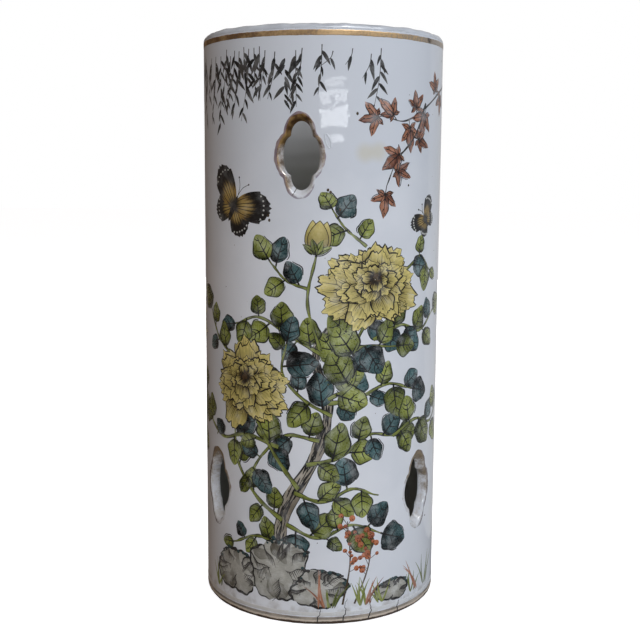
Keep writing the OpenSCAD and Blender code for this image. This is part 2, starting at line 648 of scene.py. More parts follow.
@dataclass(frozen=True)
class EnamelFinish:
    """Overglaze enamel or ink: pigment laid by a brush, uneven and thin in places."""

    name: str
    unevenness: float = 0.5
    thinness: float = 0.3
    gloss: float = 0.24
    glaze: Colour = linear(214, 216, 216)

    def material(self) -> Material:
        """The enamel's material, coloured by the pigment at each point.

        Returns:
            The new material.
        """
        shader = Shader(self.name, IOR=1.5)
        paint = shader.node("ShaderNodeAttribute", {"attribute_name": "pigment"}, {})["Color"]
        along = shader.node("ShaderNodeUVMap", {"uv_map": "brush"}, {})["UV"]
        hairs = shader.node("ShaderNodeMapping", {}, {"Vector": along, "Scale": (0.25, 2.2, 1.0)})["Vector"]
        streak = shader.node("ShaderNodeTexNoise", {}, {"Vector": hairs, "Scale": 1.6, "Detail": 3.0})["Fac"]
        wash = shader.noise(5.5, 4)
        grain = shader.noise(0.8, 2)
        tone = 1 + (wash * 0.9 + streak * 0.7 + grain * 0.3 - 0.95) * self.unevenness
        grey = shader.node("ShaderNodeCombineColor", {}, {"Red": tone, "Green": tone, "Blue": tone})["Color"]
        body = shader.mix(1.0, paint, grey, "MULTIPLY")
        thin = (wash * 0.7 + streak * 0.4).step(0.5, 0.76) * self.thinness
        body = shader.mix(thin, body, self.glaze)
        rough = self.gloss + grain * 0.16
        relief = shader.bump(wash + grain * 0.5 + streak * 0.4, 0.05)
        shader.set(Base_Color=body, Roughness=rough, Normal=relief)
        return shader.material


# The pot


def node_box(node: str) -> Array:
    """Lowest and highest corner of a solid in millimetres, shape (2, 3)."""
    return np.array([list(corner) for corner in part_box(node)]) / MM


@dataclass(frozen=True)
class StandSizes:
    """Sizes of the pot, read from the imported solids."""

    radius: float
    inner_radius: float
    foot_top: float
    floor_top: float
    joint: float
    mouth_base: float
    height: float

    @classmethod
    def from_frame(cls) -> "StandSizes":
        """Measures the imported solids.

        Returns:
            The sizes, in millimetres.
        """
        wall = node_box("upper_wall")
        floor = node_box("floor_disc")
        mouth = node_box("mouth_rim")
        return cls(
            radius=float((wall[1] - wall[0])[:2].max() / 2),
            inner_radius=float((floor[1] - floor[0])[:2].max() / 2),
            foot_top=float(floor[0, 2]),
            floor_top=float(floor[1, 2]),
            joint=float(node_box("waist_luting")[:, 2].mean()),
            mouth_base=float(mouth[0, 2]),
            height=float(mouth[1, 2]),
        )


@dataclass(frozen=True)
class Tube:
    """Glazed wall of the tube: nearly round, with the soft unevenness of a thrown pot."""

    sizes: StandSizes
    glaze_inset: float = 0.15
    waviness: float = 0.16
    throwing_rings: float = 0.12
    ring_pitch: float = 8.5
    waves: int = 8
    seed: int = 4

    def sink(self, phi: Array, z: Array) -> Array:
        """How far the wall lies inside its full radius: the mean of a few slanting waves.

        Args:
            phi: Angles from the front.
            z: Heights.

        Returns:
            Depths in millimetres.
        """
        rng = np.random.default_rng(self.seed)
        turns = rng.integers(2, 9, self.waves)
        rises = rng.uniform(0.02, 0.14, self.waves)
        starts = rng.uniform(0, 2 * np.pi, self.waves)
        phase = phi[..., None] * turns + z[..., None] * rises + starts
        return self.glaze_inset + self.waviness * (0.5 - 0.5 * np.cos(phase)).mean(-1)

    def point(self, phi: Array, z: Array, lift: Numbers = 0.0) -> Array:
        """Points on the outside of the wall, sunk from its full radius and lifted over the glaze."""
        return around(self.sizes.radius - self.sink(phi, z) + lift, phi, z)

    def inside(self, phi: Array, z: Array) -> Array:
        """Points on the inside of the wall, where a wave that climbs as it turns leaves throwing rings."""
        ring = np.cos(2 * np.pi * z / self.ring_pitch + phi)
        return around(self.sizes.inner_radius + self.throwing_rings * (0.5 + 0.5 * ring), phi, z)

    def scroll(self, places: Array, lift: Numbers = 0.0) -> Array:
        """Points at places on the unrolled wall: the angle is the arc length over the radius."""
        return self.point(places[..., 0] / self.sizes.radius, places[..., 1], lift)


@dataclass(frozen=True)
class Quatrefoil:
    """Outline of an opening: lobes over the four sides of a block between its softened cusps."""

    height: float = 36.0
    width: float = 21.5
    across: float = 13.25
    upright: float = 17.4
    upright_bevel: float = 2.6
    side_bevel: float = 2.3
    cusp_bevel: float = 1.85
    side_slimness: float = 1.65
    inner_slimness: float = 0.9
    outer_softness: int = 3
    inner_softness: int = 3

    @staticmethod
    def lobe(chord: float, rise: float, slimness: float, distance: float, steps: int) -> Array:
        """A lobe over a chord above the middle, from its left end up to but not including its right end.

        Its rise falls off from the middle as a power of a cosine, and its points are evenly spaced.

        Args:
            chord: Length of the chord.
            rise: Height over the chord.
            slimness: The power; 1 is half an ellipse.
            distance: Distance of the chord from the middle.
            steps: Number of points.

        Returns:
            Places across and up, shape (steps, 2).
        """
        a = np.linspace(-np.pi / 2, np.pi / 2, 400)
        up = distance + rise * np.maximum(np.cos(a), 0) ** slimness
        path = np.stack([chord / 2 * np.sin(a), up], axis=1)
        run = travelled(path)
        want = np.arange(steps) / steps * run[-1]
        return np.stack([np.interp(want, run, path[:, 0]), np.interp(want, run, path[:, 1])], axis=1)

    def loop(self, inner: bool, upright_steps: int, side_steps: int) -> Array:
        """Outline from its lower left cusp, anticlockwise, its cusps softened by a repeated mean.

        Args:
            inner: Whether it is the outline at the inside of the wall.
            upright_steps: Points along an upright lobe.
            side_steps: Points along a side lobe.

        Returns:
            Places across and up from the middle, shape (count, 2).
        """
        share = 1.0 if inner else 0.0
        across = self.across - 2 * self.cusp_bevel * share
        rise = (self.height - self.upright) / 2 - self.upright_bevel * share
        side_rise = (self.width - across) / 2 - self.side_bevel * share
        top = self.lobe(across, rise, self.inner_slimness if inner else 1.0, self.upright / 2, upright_steps)
        slim = self.inner_slimness if inner else self.side_slimness
        side = self.lobe(self.upright, side_rise, slim, across / 2, side_steps)
        right = np.stack([side[:, 1], side[:, 0]], axis=1)
        points = np.concatenate([top * [1, -1], right, -top * [1, -1], -right])
        for _ in range(self.inner_softness if inner else self.outer_softness):
            points = (np.roll(points, 1, axis=0) + 2 * points + np.roll(points, -1, axis=0)) / 4
        return points

    def holds(self, x: Array, z: Array, margin: float) -> Array:
        """Whether places lie in the outline or within a margin of it.

        Args:
            x: Places across, from the middle.
            z: Places up, from the middle.
            margin: Width of the margin.

        Returns:
            True for each such place.
        """
        block = self.upright / 2 + margin
        over = np.clip((np.abs(z) - self.upright / 2) / ((self.height - self.upright) / 2 + margin), 0, 1)
        tall = (self.across / 2 + margin) * np.sqrt(1 - over**2)
        bulge = np.clip(1 - (z / block) ** 2, 0, 1) ** (self.side_slimness / 2)
        wide = tall + (self.width - self.across) / 2 * bulge
        return (np.abs(x) < wide) & (over < 1)


@dataclass(frozen=True)
class Opening:
    """One opening in the wall and the shape of its bevelled edge."""

    node: str
    turn: float
    middle: float
    tube: Tube
    outline: Quatrefoil = Quatrefoil()
    frame_width: float = 38.0
    frame_height: float = 54.0
    frame_columns: int = 36
    frame_rows: int = 44
    rounding: float = 1.15
    rounds: int = 8

    @classmethod
    def from_frame(cls, node: str, solid: Object, tube: Tube) -> "Opening":
        """Finds an opening by its gilding's solid.

        Args:
            node: Name of that solid.
            solid: The solid.
            tube: The wall.

        Returns:
            The opening.
        """
        co = np.empty(len(solid.data.vertices) * 3, np.float32)
        solid.data.vertices.foreach_get("co", co)
        x, y, z = co.reshape(-1, 3).T / MM
        rough = math.atan2(x.mean(), -y.mean())
        off = (np.arctan2(x, -y) - rough + np.pi) % (2 * np.pi) - np.pi
        return cls(node, rough + float(off.min() + off.max()) / 2, float(z.min() + z.max()) / 2, tube)

    def frame_angles(self) -> Array:
        """Angles of the columns of the frame round the opening."""
        half = self.frame_width / 2 / self.tube.sizes.radius
        return np.linspace(self.turn - half, self.turn + half, self.frame_columns + 1)

    def frame_heights(self) -> Array:
        """Heights of the rows of the frame round the opening."""
        half = self.frame_height / 2
        return np.linspace(self.middle - half, self.middle + half, self.frame_rows + 1)

    def frame_loop(self) -> tuple[Array, Array]:
        """The frame's own loop, from its lower left corner, anticlockwise.

        Returns:
            Angles and heights of the loop.
        """
        phi = self.frame_angles()
        z = self.frame_heights()
        across = np.ones(self.frame_columns)
        up = np.ones(self.frame_rows)
        angles = np.concatenate([phi[:-1], phi[-1] * up, phi[:0:-1], phi[0] * up])
        heights = np.concatenate([z[0] * across, z[:-1], z[-1] * across, z[:0:-1]])
        return angles, heights

    def edge(self, cylinder: float) -> tuple[Array, Array]:
        """Angles and heights where the bevelled block meets a cylinder round the axis.

        The outline changes evenly with its depth under the wall's front, and the depth of the cylinder
        depends on the place across, so the two are settled in a few rounds.

        Args:
            cylinder: The cylinder's radius.

        Returns:
            Angles and heights of the edge's loop.
        """
        front = self.outline.loop(False, self.frame_columns, self.frame_rows)
        change = self.outline.loop(True, self.frame_columns, self.frame_rows) - front
        sizes = self.tube.sizes
        place = front
        for _ in range(self.rounds):
            depth = sizes.radius - np.sqrt(cylinder**2 - place[:, 0] ** 2)
            share = depth / (sizes.radius - sizes.inner_radius)
            place = front + change * share[:, None]
        return self.turn + np.arcsin(place[:, 0] / cylinder), self.middle + place[:, 1]

    def face_ring(self, inner: bool, reach: Optional[Numbers], share: float = 0.0) -> Array:
        """Ring on a face of the wall, between the frame and the edge.

        Args:
            inner: Whether it lies on the inside of the tube.
            reach: Distance out from the edge, all round or place by place, or None for a share of the
                way from the frame.
            share: Share of the way from the frame to the rounding of the edge.

        Returns:
            Points, shape (count, 3).
        """
        sizes = self.tube.sizes
        radius = sizes.inner_radius if inner else sizes.radius
        phi, z = self.frame_loop()
        edge_phi, edge_z = self.edge(radius)
        away = np.stack([(phi - edge_phi) * radius, z - edge_z], axis=1)
        far = np.linalg.norm(away, axis=1, keepdims=True)
        out = away / far * np.reshape(self.rounding if reach is None else reach, (-1, 1))
        if reach is None:
            out = away + (out - away) * share
        angles = edge_phi + out[:, 0] / radius
        heights = edge_z + out[:, 1]
        if share == 0 and reach is None:
            angles, heights = phi, z
        return self.tube.inside(angles, heights) if inner else self.tube.point(angles, heights)

    def lip(self, inner: bool, steps: int = 6) -> Array:
        """Rounded edge between a face and the bevel: a curve pulled towards the sharp edge.

        Args:
            inner: Whether it is the edge on the inside of the tube.
            steps: Number of rings.

        Returns:
            Rings from the face to the bevel, shape (steps, count, 3).
        """
        corner, other = self.corners()
        if inner:
            corner, other = other, corner
        away = other - corner
        on_bevel = corner + away / np.linalg.norm(away, axis=1, keepdims=True) * self.rounding
        on_face = self.face_ring(inner, self.rounding)
        t = np.linspace(0, 1, steps)[:, None, None]
        return (1 - t) ** 2 * on_face + 2 * t * (1 - t) * corner + t**2 * on_bevel

    def corners(self) -> tuple[Array, Array]:
        """Sharp edges of the bevel, on the outside and on the inside of the tube."""
        sizes = self.tube.sizes
        return self.tube.point(*self.edge(sizes.radius)), self.tube.inside(*self.edge(sizes.inner_radius))

    def bevel(self) -> Array:
        """Rings from the outside face over the bevel to the inside face.

        Returns:
            Points, shape (rings, count, 3).
        """
        outside = self.lip(False)
        inside = self.lip(True)[::-1]
        t = np.array([0.25, 0.5, 0.75])[:, None, None]
        middle = outside[-1] + (inside[0] - outside[-1]) * t
        return np.concatenate([outside, middle, inside])

    def surround(self) -> Array:
        """Rings from the frame on the outside through the wall to the frame on the inside.

        Returns:
            Points, shape (rings, count, 3).
        """
        shares = (0.0, 0.2, 0.4, 0.58, 0.74, 0.87, 0.95)
        outer = [self.face_ring(False, None, share) for share in shares]
        inner = [self.face_ring(True, None, share) for share in reversed(shares)]
        return np.concatenate([outer, self.bevel(), inner])

    def covers(self, places: Array, margin: float) -> bool:
        """Whether any place on the scroll lies in the opening or near it.

        Args:
            places: Arc length and height on the last axis.
            margin: Width of glaze to leave round the opening.

        Returns:
            True if one does.
        """
        radius = self.tube.sizes.radius
        turn = (places[..., 0] / radius - self.turn + np.pi) % (2 * np.pi) - np.pi
        return bool(self.outline.holds(turn * radius, places[..., 1] - self.middle, margin).any())


@dataclass
class PiercedWall:
    """One thrown section of the wall, with its openings."""

    name: str
    node: str
    tube: Tube
    openings: Sequence[Opening]
    low: float
    high: float
    column_pitch: float = 1.25
    row_pitch: float = 2.0
    skin: float = 0.4

    def columns(self) -> tuple[Array, Array]:
        """Angles round the wall, and which cells after them lie in an opening's frame.

        Returns:
            Angles, and True for each cell in a frame.
        """
        order = sorted(self.openings, key=lambda opening: opening.turn % (2 * np.pi))
        frames = [opening.frame_angles() for opening in order]
        angles, framed = [], []
        for i, frame in enumerate(frames):
            gap = (frames[(i + 1) % len(frames)][0] - frame[-1]) % (2 * np.pi)
            steps = max(2, round(gap * self.tube.sizes.radius / self.column_pitch))
            angles += [frame[:-1], frame[-1] + gap * np.arange(steps) / steps]
            framed += [np.ones(len(frame) - 1, bool), np.zeros(steps, bool)]
        return np.concatenate(angles), np.concatenate(framed)

    def rows(self) -> tuple[Array, Array]:
        """Heights up the wall, and which cells after them lie in an opening's frame.

        Returns:
            Heights, and True for each cell in a frame.
        """
        frame = self.openings[0].frame_heights()
        below = np.linspace(self.low, frame[0], max(2, round((frame[0] - self.low) / self.row_pitch)) + 1)
        above = np.linspace(frame[-1], self.high, max(2, round((self.high - frame[-1]) / self.row_pitch)) + 1)
        heights = np.concatenate([below[:-1], frame[:-1], above])
        framed = np.zeros(len(heights) - 1, bool)
        framed[len(below) - 1 : len(below) - 1 + len(frame) - 1] = True
        return heights, framed

    def build(self, finish: Material, inside: Material) -> None:
        """Makes the wall: two faces with gaps, a ring grid through each gap and two flat ends.

        Args:
            finish: The glaze.
            inside: The thin glaze inside, painted darker lower down as shade.
        """
        phi, framed_columns = self.columns()
        z, framed_rows = self.rows()
        keep = ~(framed_rows[:, None] & framed_columns[None, :])
        outer = self.tube.point(phi[None, :], z[:, None])
        inner = self.tube.inside(phi[None, :], z[:, None])
        draft = MeshDraft()
        draft.grid(outer, wrap=True, keep=keep)
        draft.grid(inner, wrap=True, flip=True, keep=keep)
        for opening in self.openings:
            draft.grid(opening.surround(), wrap=True)
        draft.grid(np.stack([outer[-1], inner[-1]]), wrap=True)
        draft.grid(np.stack([outer[0], inner[0]]), wrap=True, flip=True)
        wall = draft.build(self.name, finish)
        hidden = self.tube.sizes.inner_radius + self.skin
        second_finish(wall, inside, lambda centres: np.hypot(centres[:, 0], centres[:, 1]) < hidden)
        dress(wall, Slot.GLAZE, self.node)


def revolve(profile: Array, columns: int = 360, wobble: Optional[Wobble] = None) -> Array:
    """A profile carried round the axis.

    Args:
        profile: Radii and heights, with the outside on the right of the way along it when it rises.
        columns: Columns round the axis.
        wobble: Change of radius and height at angles and rows, or None.

    Returns:
        Points, shape (rows, columns, 3).
    """
    phi, r, z = np.broadcast_arrays(full_turn(columns), profile[:, :1], profile[:, 1:])
    if wobble is not None:
        change = wobble(phi, z)
        r, z = r + change[..., 0], z + change[..., 1]
    return around(r, phi, z)


def turned(
    name: str, profile: Array, finish: Material, slot: Slot, columns: int = 360,
    wobble: Optional[Wobble] = None,
) -> Object:
    """A ring or disc on the lathe: a profile closed on itself and carried round the axis.

    Args:
        name: Name of the piece; the solid that it replaces is what stands before its last word.
        profile: As revolve takes it.
        finish: Its finish.
        slot: Its material slot.
        columns: Columns round the axis.
        wobble: As revolve takes it.

    Returns:
        The piece.
    """
    draft = MeshDraft()
    draft.grid(revolve(np.concatenate([profile, profile[:1]]), columns, wobble), wrap=True)
    return dress(draft.build(name, finish), slot, name.rpartition("_")[0])


def arc(centre: Place, radius: float, start: float, end: float, steps: int) -> Array:
    """Arc in a profile, between two angles in degrees from outwards turning upwards, shape (steps, 2)."""
    a = np.radians(np.linspace(start, end, steps))
    return np.stack([centre[0] + radius * np.cos(a), centre[1] + radius * np.sin(a)], axis=1)


@dataclass
class MouthRim:
    """Mouth of the tube: thickened inside and rolled into a soft uneven lip, with its gilt band."""

    tube: Tube
    swell: float = 1.0
    outer_round: float = 3.0
    inner_round: float = 2.0
    unevenness: float = 0.75
    band_gap: float = 0.4
    band_width: float = 2.8
    columns: int = 480

    def lip_drop(self, phi: Array, z: Array) -> Array:
        """Change of radius and height that leaves the lip a little uneven, most at its top.

        Args:
            phi: Angles from the front.
            z: Heights.

        Returns:
            The two changes, on the last axis.
        """
        sizes = self.tube.sizes
        top = ease(sizes.mouth_base, sizes.height, z)
        wave = 0.5 + 0.14 * np.sin(3 * phi + 1) + 0.12 * np.sin(11 * phi + 2)
        wave = wave + 0.13 * np.sin(23 * phi) + 0.1 * np.sin(41 * phi + 3 * np.sin(5 * phi))
        return np.stack([np.zeros_like(phi), -self.unevenness * top * wave], axis=-1)

    def build(self, glaze: Material, lip: Material, gilt: Material) -> None:
        """Makes the rim and its band.

        Args:
            glaze: Finish of the rim.
            lip: Finish of its rubbed lip, also painted darker as shade.
            gilt: Finish of the band.
        """
        sizes = self.tube.sizes
        top = sizes.height
        inner = sizes.inner_radius - self.swell
        phi = full_turn(self.columns)
        wall_z = np.linspace(sizes.mouth_base, top - self.outer_round, 5)[:-1]
        outer = self.tube.point(phi[None, :], wall_z[:, None])
        shape = np.concatenate([
            arc((sizes.radius - self.outer_round, top - self.outer_round), self.outer_round, 0, 90, 9),
            arc((inner + self.inner_round, top - self.inner_round), self.inner_round, 90, 180, 8),
            np.array([[inner, sizes.mouth_base + 2.4], [inner + 0.3, sizes.mouth_base + 1.0]]),
            np.array([[sizes.inner_radius, sizes.mouth_base]]),
        ])
        roll = revolve(shape, len(phi), self.lip_drop)
        fade = ease(inner + self.inner_round, sizes.radius, np.hypot(roll[..., 0], roll[..., 1]))
        sink = self.tube.sink(np.broadcast_to(phi, roll.shape[:2]), roll[..., 2]) * fade
        roll[..., 0] -= sink * np.sin(phi)
        roll[..., 1] += sink * np.cos(phi)
        draft = MeshDraft()
        draft.grid(np.concatenate([outer, roll, outer[:1]]), wrap=True)
        rim = draft.build("mouth_rim_glazed", glaze)
        second_finish(rim, lip, lambda centres: centres[:, 2] > top - self.outer_round)
        dress(rim, Slot.GLAZE, "mouth_rim")
        high = top - self.outer_round - self.band_gap
        band = GiltBand("mouth_band_gilded", "mouth_gilt_band", self.tube, high - self.band_width, high)
        band.build(gilt)


@dataclass
class GiltBand:
    """Band of gold brushed round the tube, with edges that wander."""

    name: str
    node: str
    tube: Tube
    low: float
    high: float
    wander: float = 0.34
    lift: float = 0.07
    root: float = 0.04
    columns: int = 720
    wave_turns: Sequence[int] = (5, 13, 31, 83, 149)
    wave_parts: Sequence[float] = (0.25, 0.2, 0.2, 0.2, 0.15)

    def ragged(self, phi: Array, start: float) -> Array:
        """Share of the wander at angles, 0 to 1: a sum of slow and quick waves."""
        waves = np.sin((phi[:, None] + start) * np.array(self.wave_turns))
        return 0.5 + 0.5 * waves @ np.array(self.wave_parts)

    def build(self, gilt: Material) -> None:
        """Makes the band: a low ridge across, carried round the tube.

        Args:
            gilt: Its finish.
        """
        phi = full_turn(self.columns)
        low = self.low + self.wander * self.ragged(phi, self.low)
        high = self.high - self.wander * self.ragged(phi, 2.0)
        across = np.array([0, 0.02, 0.2, 0.5, 0.8, 0.98, 1])[:, None]
        ridge = np.array([-self.root, 0.6, 0.9, 1, 0.9, 0.6, -self.root])[:, None]
        lift = np.where(ridge < 0, ridge, ridge * self.lift)
        draft = MeshDraft()
        draft.grid(self.tube.point(phi[None, :], low + (high - low) * across, lift), wrap=True)
        dress(draft.build(self.name, gilt, crease=75), Slot.GILT, self.node)


@dataclass
class GildedEdge:
    """Gilding on one opening's bevel, with a line drawn round it on the face."""

    name: str
    opening: Opening
    gold: float = 0.6
    fall: float = 0.28
    lean: float = 0.16
    dulled: float = 0.0
    line_width: float = 0.8
    line_lean: float = 0.2
    lift: float = 0.04
    bare_rings: int = 3
    seed: int = 1

    def build(self, finish: Material) -> None:
        """Makes the gilding: the bevel's own rings, raised off it, rooted at both ends.

        Gold is rubbed off low down and to one side, which also paints shade; the line is widest away from the
        front.

        Args:
            finish: Its finish.
        """
        opening = self.opening
        edge_phi, edge_z = opening.edge(opening.tube.sizes.radius)
        up = (edge_z - opening.middle) / (opening.outline.height / 2)
        left = (opening.turn - edge_phi) * opening.tube.sizes.radius / (opening.outline.width / 2)
        turn = full_turn(len(up))
        starts = np.random.default_rng(self.seed).uniform(0, 2 * np.pi, 4)
        wander = 0.16 * np.sin(11 * turn + starts[0]) + 0.12 * np.sin(23 * turn + starts[1])
        far = left if math.sin(opening.turn) < 0.1 else -left
        width = self.line_width * (1 + 0.35 * far + wander)
        face = [opening.face_ring(False, opening.rounding + share * width) for share in (1.0, 0.85)]
        rings = np.concatenate([face, opening.bevel()[: -self.bare_rings]])
        along = np.roll(rings, -1, axis=1) - np.roll(rings, 1, axis=1)
        over = np.gradient(rings, axis=0)
        normal = np.cross(along, over)
        normal /= np.maximum(np.linalg.norm(normal, axis=-1, keepdims=True), 1e-9)
        lift = np.full(len(rings), self.lift)
        lift[[0, -1]] = -self.lift
        raised = rings + normal * lift[:, None, None]
        row = np.arange(len(rings))[:, None]
        patch = 0.1 * np.sin(3 * turn + starts[2]) + 0.08 * np.sin(7 * turn + starts[3])
        # Gold share: it drops towards the bottom as wear and as painted shade, dark gold above, pale glaze
        # below
        gold = np.clip(self.gold + self.fall * up + self.lean * left + patch - 0.02 * row, 0, 1)
        firm = 1 + self.line_lean * (far - 1) + wander * 0.2 / self.line_lean
        line = np.clip(1.1 - np.abs(row - 1.2) / 2.4, 0, 1) * firm
        paint = np.stack([gold, np.clip(line, 0, 1), gold * 0 + self.dulled], axis=-1)
        draft = MeshDraft()
        draft.grid(raised, wrap=True, colours=paint)
        dress(draft.build(self.name, finish, crease=75), Slot.GILT, opening.node)


@dataclass
class Foot:
    """Turned foot, recessed floor and the slip in the corner above it."""

    tube: Tube
    ledge: float = 2.5
    chamfer: float = 1.4
    chip: float = 0.3
    fillet: float = 4.0
    bead_height: float = 9.0
    bead_depth: float = 1.5
    columns: int = 720

    def worn(self, phi: Array, z: Array) -> Array:
        """Change of radius and height where the foot's outer edge is rubbed and nicked.

        Args:
            phi: Angles from the front.
            z: Heights.

        Returns:
            The two changes, on the last axis.
        """
        low = 1 - ease(0.2, self.chamfer + 0.8, z)
        wave = 0.5 + 0.22 * np.sin(9 * phi) + 0.16 * np.sin(23 * phi + 1) + 0.12 * np.sin(61 * phi + 2)
        return np.stack([-self.chip * low * wave, np.zeros_like(phi)], axis=-1)

    def build(self, glaze: Material, biscuit: Material) -> None:
        """Makes the foot, the floor, its fillet and the bead over the joint of the wall.

        Args:
            glaze: Finish of the inside, painted darker as shade.
            biscuit: Finish of the foot and the underside.
        """
        sizes = self.tube.sizes
        inner = sizes.inner_radius - self.ledge
        outer = sizes.radius - self.tube.glaze_inset
        ring = np.concatenate([
            np.array([[inner, sizes.foot_top], [inner, 2.4], [inner + 0.3, 0.8]]),
            arc((inner + 1.0, 0.7), 0.7, 180, 270, 5),
            np.array([[inner + 3.0, 0.0], [outer - 2.6, 0.0]]),
            arc((outer - self.chamfer, self.chamfer), self.chamfer, 270, 360, 8),
            np.array([[outer - 0.02, 2.2], [outer - 0.08, 2.9], [outer - 0.05, 3.4]]),
            np.array([[outer - 0.1, sizes.foot_top]]),
        ])
        turned("foot_ring_turned", ring, biscuit, Slot.BISCUIT, self.columns, self.worn)
        radii = np.array([0.0, 4, 10, 18, 26, 34, 42, 49, sizes.inner_radius])
        marks = 0.05 * np.cos(radii)
        under = np.stack([radii, sizes.foot_top + 0.05 + marks], axis=1)
        upper = np.stack([radii, sizes.floor_top - 0.06 + marks], axis=1)
        floor = turned("floor_disc_luted", np.concatenate([under, upper[::-1]]), glaze, Slot.GLAZE)
        second_finish(floor, biscuit, lambda centres: centres[:, 2] < sizes.foot_top + 1.0)
        middle = (sizes.inner_radius - self.fillet, sizes.floor_top + self.fillet)
        corner = np.array([[sizes.inner_radius, sizes.floor_top]])
        hollow = np.concatenate([corner, arc(middle, self.fillet, 360, 270, 9)])
        turned("floor_fillet_slip", hollow, glaze, Slot.GLAZE)
        bead_radius = (self.bead_height**2 / 4 + self.bead_depth**2) / (2 * self.bead_depth)
        half = math.degrees(math.asin(self.bead_height / 2 / bead_radius))
        middle = (sizes.inner_radius - self.bead_depth + bead_radius, sizes.joint)
        bead = arc(middle, bead_radius, 180 - half, 180 + half, 11)
        turned("waist_luting_bead", bead, glaze, Slot.GLAZE)


# The painting


class Paint(Enum):
    """Pigments, each from its deep to its pale tone."""

    YELLOW = (linear(84, 64, 12), linear(233, 216, 132))
    GREEN = (linear(38, 48, 11), linear(160, 169, 82))
    TEAL = (linear(14, 28, 30), linear(84, 118, 120))
    RUST = (linear(104, 56, 38), linear(194, 134, 102))
    CORAL = (linear(128, 60, 34), linear(200, 122, 82))
    STONE = (linear(96, 92, 80), linear(198, 196, 186))
    INK = (linear(18, 16, 17), linear(92, 88, 84))
    UMBER = (linear(38, 28, 18), linear(104, 78, 44))
    BARK = (linear(104, 92, 76), linear(196, 188, 172))
    OCHRE = (linear(150, 116, 52), linear(212, 186, 118))
    WHITE = (linear(196, 196, 190), linear(226, 226, 222))

    def tone(self, share: Numbers) -> Array:
        """Colour between the deep and the pale tone, or under the deep one.

        Args:
            share: 0 for deep to 1 for pale, and less than 0 towards black.

        Returns:
            Linear colours, with the channels on the last axis.
        """
        deep, pale = (np.array(colour) for colour in self.value)
        part = np.asarray(share, float)[..., None]
        return (deep + (pale - deep) * np.clip(part, 0, 1)) * np.clip(1 + part, 0.2, 1)


class Layer(Enum):
    """Painted pieces: the name of each, and how uneven, thin and glossy its enamel is."""

    STEMS = ("painted_stems", 0.6, 0.2, 0.26)
    LEAVES = ("painted_leaves", 1.0, 0.3, 0.2)
    VEINS = ("painted_leaf_veins", 0.4, 0.12, 0.3)
    PETALS = ("painted_peony_petals", 0.7, 0.3, 0.22)
    PETAL_LINES = ("painted_petal_lines", 0.4, 0.15, 0.3)
    MAPLE = ("painted_maple_leaves", 1.0, 0.4, 0.24)
    WILLOW = ("painted_willow", 0.5, 0.2, 0.3)
    STONES = ("painted_stones", 0.8, 0.45, 0.3)
    STONE_LINES = ("painted_stone_lines", 0.5, 0.15, 0.3)
    BERRIES = ("painted_berries", 0.6, 0.2, 0.2)
    BUTTERFLIES = ("painted_butterflies", 0.5, 0.15, 0.26)
    GRASS = ("painted_grass", 0.6, 0.25, 0.26)
    SPECKS = ("glaze_specks", 0.4, 0.1, 0.4)
    CRACKS = ("hairline_cracks", 0.3, 0.1, 0.6)


